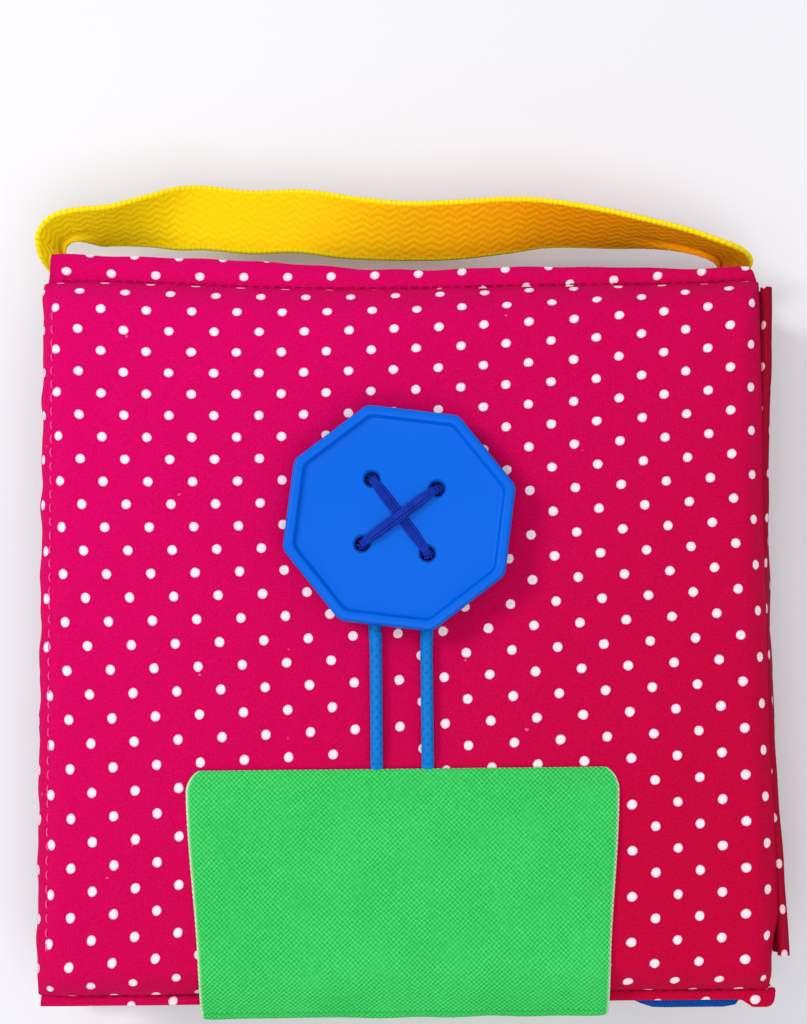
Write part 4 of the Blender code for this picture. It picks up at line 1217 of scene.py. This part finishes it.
# Stations of the handle's middle line: X as a share of the cover's half width, Y and Z as shares
# of the handle's reach and rise, then how far the webbing leans and how far it has swung round
handle_stations = [
    (-0.901, 0.00, 0.00, 64, 90), (-0.926, 0.04, 0.16, 66, 80), (-0.968, 0.22, 0.38, 67, 60),
    (-0.998, 0.49, 0.62, 64, 32), (-0.976, 0.70, 0.86, 64, 12), (-0.915, 0.78, 0.98, 65, 2),
    (-0.827, 0.83, 1.00, 66, 0), (-0.711, 0.90, 1.00, 48, 0), (-0.581, 0.94, 1.00, 10, 0),
    (-0.438, 0.855, 1.00, 2, 0), (-0.294, 0.865, 1.00, 4, 0), (-0.150, 0.75, 1.00, 28, 0),
    (0.005, 0.68, 1.00, 39, 0), (0.152, 0.69, 1.00, 38, 0), (0.301, 0.755, 1.00, 44, 0),
    (0.426, 0.78, 1.00, 57, 0), (0.569, 0.70, 1.00, 67, 0), (0.684, 0.60, 1.00, 75, 0),
    (0.798, 0.45, 1.00, 78, 0), (0.882, 0.31, 0.90, 84, -14), (0.922, 0.22, 0.64, 85, -38),
    (0.930, 0.13, 0.37, 85, -63), (0.916, 0.04, 0.15, 85, -81), (0.901, 0.00, 0.00, 85, -90),
]
handle_reach, handle_rise = 0.014, 0.009


def handle_piece():
    """Make the handle's webbing in one length, with both ends that are sewn to the back cover."""
    stations = []
    for x, y, z, lean, swing in handle_stations:
        a, b = radians(lean), radians(swing)
        stations.append((
            x * half_width, handle_hinge_y + y * handle_reach, handle_hinge_z + z * handle_rise,
            -sin(b), cos(b) * cos(a), cos(b) * sin(a),
        ))
    tail_level = back_page + page_gap + 0.0007
    x = 0.901 * half_width
    tail = (0.0685, 0.0735, 0.0785, 0.0815)
    before = [(-x, y, tail_level, -1, 0, 0) for y in tail]
    after = [(x, y, tail_level, 1, 0, 0) for y in reversed(tail)]
    path = even(spline(before + stations + after, 14), 0.00028)
    sides = path[:, 3:] / np.linalg.norm(path[:, 3:], axis=1, keepdims=True)
    x, y = path[:, 0], path[:, 1]
    gather = 0.80 * ease((x - 0.050) / 0.022) + 0.62 * ease((-x - 0.0695) / 0.008)
    gather = gather * ease((y - 0.0795) / 0.004)
    shape = Shape()
    strap(shape, path[:, :3], sides, 0.0075, 0.0014, 0.0002, 0.0040, 0.0017, True, gather)
    made = fit(shape.make("handle_webbing", yellow, 180.0), None,
               ["handle_strap", "handle_end_left", "handle_end_right"])
    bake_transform(made)
    seams = Shape()
    for x in (-0.073, 0.073):
        bar_tack(seams, (x - 0.0058, 0.0699), (x + 0.0058, 0.0788), tail_level + 0.0006, 1)
    fit(seams.make("handle_end_stitches", gold_thread), "back_cover")


# Inside: lacing, snap, belt and buckle
def webbing_strip(name, points, radius, middle_y, width, thickness, finish, body, nodes,
                  turned_round=False):
    """Make webbing whose width runs along Y, on a path through X and Z places."""
    path = even(rounded([(x, 0.0, z) for x, z in points], radius), 0.0003)
    path = (path[::-1] if turned_round else path) + vec(0, middle_y, 0)
    shape = Shape()
    sides = np.tile(vec(0, -1, 0), (len(path), 1))
    strap(shape, path, sides, width / 2, thickness, 0.00014, 0.0021, 0.0021)
    return fit(shape.make(name, finish, 180.0), body, nodes)


# The lacing's places, and the levels of its panels
lace_columns = (-0.052, -0.020)
lace_rows = (-0.053, -0.039, -0.025)
panel_cloth = 0.0012
panel_tunnel = 0.0033
panel_foot = back_page + page_gap + panel_cloth / 2
panel_level = back_page + page_gap + panel_tunnel + panel_cloth / 2
panel_top = panel_level + panel_cloth / 2


def lace_panel(side, x, seams):
    """Make one lacing panel with its holes, its seams and its eyelets."""
    step = 0.0004
    path = [(x - 0.010, panel_foot), (x - 0.007, panel_foot), (x - 0.005, panel_level),
            (x + 0.005, panel_level), (x + 0.007, panel_foot), (x + 0.010, panel_foot)]
    path = even(rounded([(x, 0.0, z) for x, z in path], 0.0009), step)
    ys = np.concatenate([[-0.062, -0.0616], np.linspace(-0.061, -0.017, 60), [-0.0164, -0.016]])
    centres = joined(path[:, None, 0], ys[None], path[:, None, 2])
    normal = normals_of(centres)
    normal *= np.sign(normal[..., 2:3] + 1e-9)
    inset = np.minimum(ys - ys[0], ys[-1] - ys)
    half = panel_cloth / 2 - 0.0003 * (1 - ease(inset / 0.0006))[None]
    slack = 0.0001 * waves(centres[..., 0], centres[..., 1], 0.012, 51)
    upper = centres + normal * (half + np.minimum(slack, 0.00005))[..., None]
    shape = Shape()
    slab(shape, centres - normal * half[..., None], upper,
         joined(np.arange(len(path))[:, None] * step, ys[None]))
    made = shape.make(f"lace_canvas_{side}", lace_canvas)
    for index, y in enumerate(lace_rows):
        tool = Shape()
        hole = [(0.0, -0.003), (0.00275, -0.003), (0.00275, 0.003), (0.0, 0.003)]
        lathe(tool, hole, (x, y, panel_level), 36)
        cut_with(made, tool, f"lace_hole_tool_{index}", steel)
    smooth(made.data, 50.0)
    fit(made, "back_cover", [f"lace_panel_{side}"])
    for edge in (x - 0.0086, x + 0.0086):
        level = panel_foot + panel_cloth / 2
        stitches(seams, even([(edge, -0.0612, level), (edge, -0.0168, level)], step), (0, 0, 1), panel_seam)
    seat = panel_top + 0.00005 - panel_level
    under = 0.0005 - panel_tunnel
    profile = [
        (0.0026, seat), (0.0040, seat), (0.0040, seat + 0.0001), (0.0038, seat + 0.00027),
        (0.0035, seat + 0.0005), (0.0031, seat + 0.00066), (0.0027, seat + 0.0007),
        (0.00235, seat + 0.00066), (0.00205, seat + 0.00048), (0.0019, seat + 0.0002),
        (0.0019, under), (0.0026, under),
    ]
    for index, y in enumerate(lace_rows):
        eyelet = Shape()
        lathe(eyelet, profile, (x, y, panel_level), 48)
        fit(eyelet.make(f"eyelet_ring_{side}_{index + 1}", steel, 40.0), "back_cover",
            [f"eyelet_{side}_{index + 1}"])


def lacing_pieces():
    """Make the two lacing panels and the lace."""
    seams = Shape()
    for side, x in zip(("left", "right"), lace_columns):
        lace_panel(side, x, seams)
    fit(seams.make("lace_panel_seams", green_thread), "back_cover")

    left, right = lace_columns
    bottom, middle, top = lace_rows
    lace = 0.0024
    above = panel_top + page_gap + 0.0007 + page_gap + lace / 2
    beneath = back_page + 2 * page_gap + lace / 2
    end = top + 0.0055
    run = unit(vec(right - left, top - middle))
    rise = vec(-run[0], run[1]) * 0.005
    centre = vec((left + right) / 2, (middle + top) / 2)
    points = [
        (right, end, beneath), (right, top, beneath), (right, top, above), (left, middle, above),
        (left, middle, beneath), (left, bottom, beneath), (left, bottom, above),
        (right, bottom, above), (right, bottom, beneath), (right, middle, beneath),
        (right, middle, above), (*(centre - rise), above), (*(centre - rise / 2), above + 0.0027),
        (*(centre + rise / 2), above + 0.0027), (*(centre + rise), above), (left, top, above),
        (left, top, beneath), (left, end, beneath),
    ]
    shape = Shape()
    path = even(rounded(points, 0.0016, 6), 0.00025)
    tube(shape, path, lace / 2, sides=16, braid=0.1, pitch=0.0036, strands=12)
    fit(shape.make("lace_cord", lace_white, 180.0), "back_cover", ["lace"])


def snap_pieces():
    """Make the snap's tab in one length with its sewn base, its turned stud and socket and its cap."""
    page = back_page + page_gap
    centre_x = 0.0215 + 0.0082
    cloth = 0.0014
    level = page + 0.0012 + 0.0003 + 0.0018 + 0.0003 + cloth / 2
    low = page + cloth / 2
    points = [(0.0155, low), (0.0205, low), (centre_x - 0.0057, level), (0.0361, level)]
    made = webbing_strip("snap_tab_webbing", points, 0.0015, 0.0, 0.015, cloth, red_tab, None,
                         ["snap_tab", "snap_tab_base"])
    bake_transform(made)
    seams = Shape()
    bar_tack(seams, (0.0163, -0.0064), (0.0194, 0.0064), page + cloth - 0.0001, 1, 0.00038)
    fit(seams.make("snap_base_stitches", red_thread), "back_cover")

    stud = [
        (0.0, 0.0), (0.0046, 0.0), (0.0049, 0.00012), (0.005, 0.0004), (0.005, 0.0008),
        (0.0048, 0.00108), (0.0044, 0.0012), (0.0030, 0.00112), (0.0024, 0.0012), (0.0018, 0.0014),
        (0.0014, 0.0017), (0.00142, 0.0021), (0.0016, 0.0024), (0.0016, 0.00262), (0.0014, 0.00282),
        (0.0009, 0.0029), (0.0, 0.0029),
    ]
    socket = [
        (0.0, 0.0016), (0.00195, 0.0016), (0.00195, 0.0006), (0.0020, 0.0001), (0.0024, 0.0),
        (0.0030, 0.00012), (0.0045, 0.0), (0.0048, 0.0001), (0.005, 0.0005), (0.005, 0.0014),
        (0.0048, 0.0017), (0.0044, 0.0018), (0.0, 0.0018),
    ]
    cap = [
        (0.0, 0.0), (0.0050, 0.0), (0.0052, 0.0001), (0.0052, 0.0003), (0.0049, 0.0006),
        (0.0040, 0.0009), (0.0026, 0.0011), (0.0012, 0.0012), (0.0, 0.0012),
    ]
    for name, profile, z, body, nodes, slot in (
        ("snap_stud_turned", stud, page, "back_cover", ["snap_stud"], "steel"),
        ("snap_socket_turned", socket, page + 0.0015, "snap_tab", ["snap_socket"], "steel"),
        ("snap_cap", cap, level + cloth / 2 - 0.0001, "snap_tab", [], None),
    ):
        shape = Shape()
        lathe(shape, profile, (centre_x, 0.0, z), 56)
        fit(shape.make(name, steel, 35.0), body, nodes)


def belt_pieces():
    """Make the belt with the seams at its ends."""
    page = front_page - page_gap
    cloth = 0.0014
    half = 0.068
    low, run = page - cloth / 2, page - 0.0028 - cloth / 2
    points = [(-half, low), (0.008 - half, low), (0.014 - half, run),
              (half - 0.014, run), (half - 0.008, low), (half, low)]
    webbing_strip("belt_webbing", points, 0.002, -0.035, 0.020, cloth, red_belt, "front_cover",
                  ["belt_strap"])
    seams = Shape()
    for x in (-half + 0.001, half - 0.0065):
        bar_tack(seams, (x, -0.0438), (x + 0.0055, -0.0262), page - cloth + 0.0001, -1)
    fit(seams.make("belt_stitches", red_thread), "front_cover")


def buckle_pieces():
    """Make the buckle's two straps with their seams, and its grip ribs."""
    middle = 0.0225
    cloth = 0.0012
    level = front_page - page_gap - cloth / 2
    wrap = 0.0015 + 0.0003 + cloth / 2
    seams = Shape()
    for side, bar_x, out in (("left", -0.0265, -1), ("right", 0.0214, 1)):
        near = bar_x + out * 0.002
        points = [(out * 0.066, level), (near + out * 0.006, level), (near, middle + wrap)]
        for angle in np.radians(np.arange(90, -91, -15)):
            points.append((bar_x - out * wrap * cos(angle), middle + wrap * sin(angle)))
        points.append((bar_x + out * 0.010, middle - wrap))
        made = webbing_strip(
            f"buckle_webbing_{side}", points, 0.0008, 0.035, 0.0195, cloth, buckle_yellow,
            "front_cover" if out < 0 else None, [f"buckle_strap_{side}"],
            turned_round=out > 0,
        )
        if out > 0:
            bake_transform(made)
        low_x = min(out * 0.0645, out * 0.0575)
        bar_tack(seams, (low_x, 0.0264), (low_x + 0.007, 0.0436), level - cloth / 2 + 0.0001, -1)
    fit(seams.make("buckle_strap_stitches", gold_thread), "front_cover")
    ribs = Shape()
    for x in (0.0036, 0.0049, 0.0062, 0.0075):
        for z in (middle + 0.0035, middle - 0.0035):
            tube(ribs, even([(x, 0.0232, z), (x, 0.0468, z)], 0.0006), 0.00035)
    fit(ribs.make("buckle_grip_ribs", black_plastic), "buckle_plug")


handle_piece()
lacing_pieces()
snap_pieces()
belt_pieces()
buckle_pieces()
for node in ("belt_slider", "buckle_socket", "buckle_plug", "buckle_prong_lower", "buckle_prong_upper"):
    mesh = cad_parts[node].data
    mesh.materials.clear()
    mesh.materials.append(black_plastic)
    for face in mesh.polygons:
        face.material_index = 0


# Floor, light and camera
def floor():
    """A plain pale floor, far larger than the board."""
    shape = Shape()
    wide, level = 6.0, -0.0002
    x, y = np.meshgrid(*[np.linspace(-wide, wide, 3)] * 2)
    shape.add(joined(x, y, level), grid_faces(3, 3), joined(x, y))
    made = Finish("pale_floor", roughness=0.9, specular=0.2)
    made.colour(made.mix(made.noise(4.0), (236, 236, 238), (230, 230, 233)))
    shape.make("floor", made.material)


def area_light(name, place, target, size, power, colour):
    """A soft square lamp that looks at a target."""
    data = bpy.data.lights.new(name, "AREA")
    data.shape = "SQUARE"
    data.size = size
    data.energy = power
    data.color = colour
    lamp = bpy.data.objects.new(name, data)
    lamp.location = place
    lamp.rotation_euler = (Vector(target) - Vector(place)).to_track_quat("-Z", "Y").to_euler()
    bpy.context.scene.collection.objects.link(lamp)


def studio():
    """A key lamp at the upper left, a broad soft lamp in front and a pale surround."""
    world = bpy.data.worlds.new("surround")
    world.use_nodes = True
    surround = world.node_tree.nodes["Background"].inputs
    surround["Color"].default_value = (0.9, 0.93, 1.0, 1)
    surround["Strength"].default_value = 0.60
    bpy.context.scene.world = world
    centre = (0, 0.01, 0.03)
    area_light("key", (-0.70, 0.34, 0.85), centre, 0.30, 5.0, (1.0, 0.97, 0.98))
    area_light("front", (0.06, -0.34, 1.08), centre, 0.8, 5.6, (1.0, 0.97, 0.94))
    bpy.context.scene.view_settings.view_transform = "Standard"


def camera():
    """The view of the photograph."""
    data = bpy.data.cameras.new("camera")
    data.lens = 67.59
    data.sensor_width = 36.0
    data.clip_start = 0.01
    data.clip_end = 50.0
    view = bpy.data.objects.new("camera", data)
    lean, spin, distance = 0.1069, 0.0103, 0.43
    ahead = Vector((0, sin(lean), -cos(lean)))
    target = Vector((-0.000385, 0.026009, 0.030))
    turn = ahead.to_track_quat("-Z", "Y").to_matrix() @ Matrix.Rotation(-spin, 3, "Z")
    view.matrix_world = Matrix.Translation(target - ahead * distance) @ turn.to_4x4()
    bpy.context.scene.collection.objects.link(view)
    bpy.context.scene.camera = view


floor()
studio()
camera()
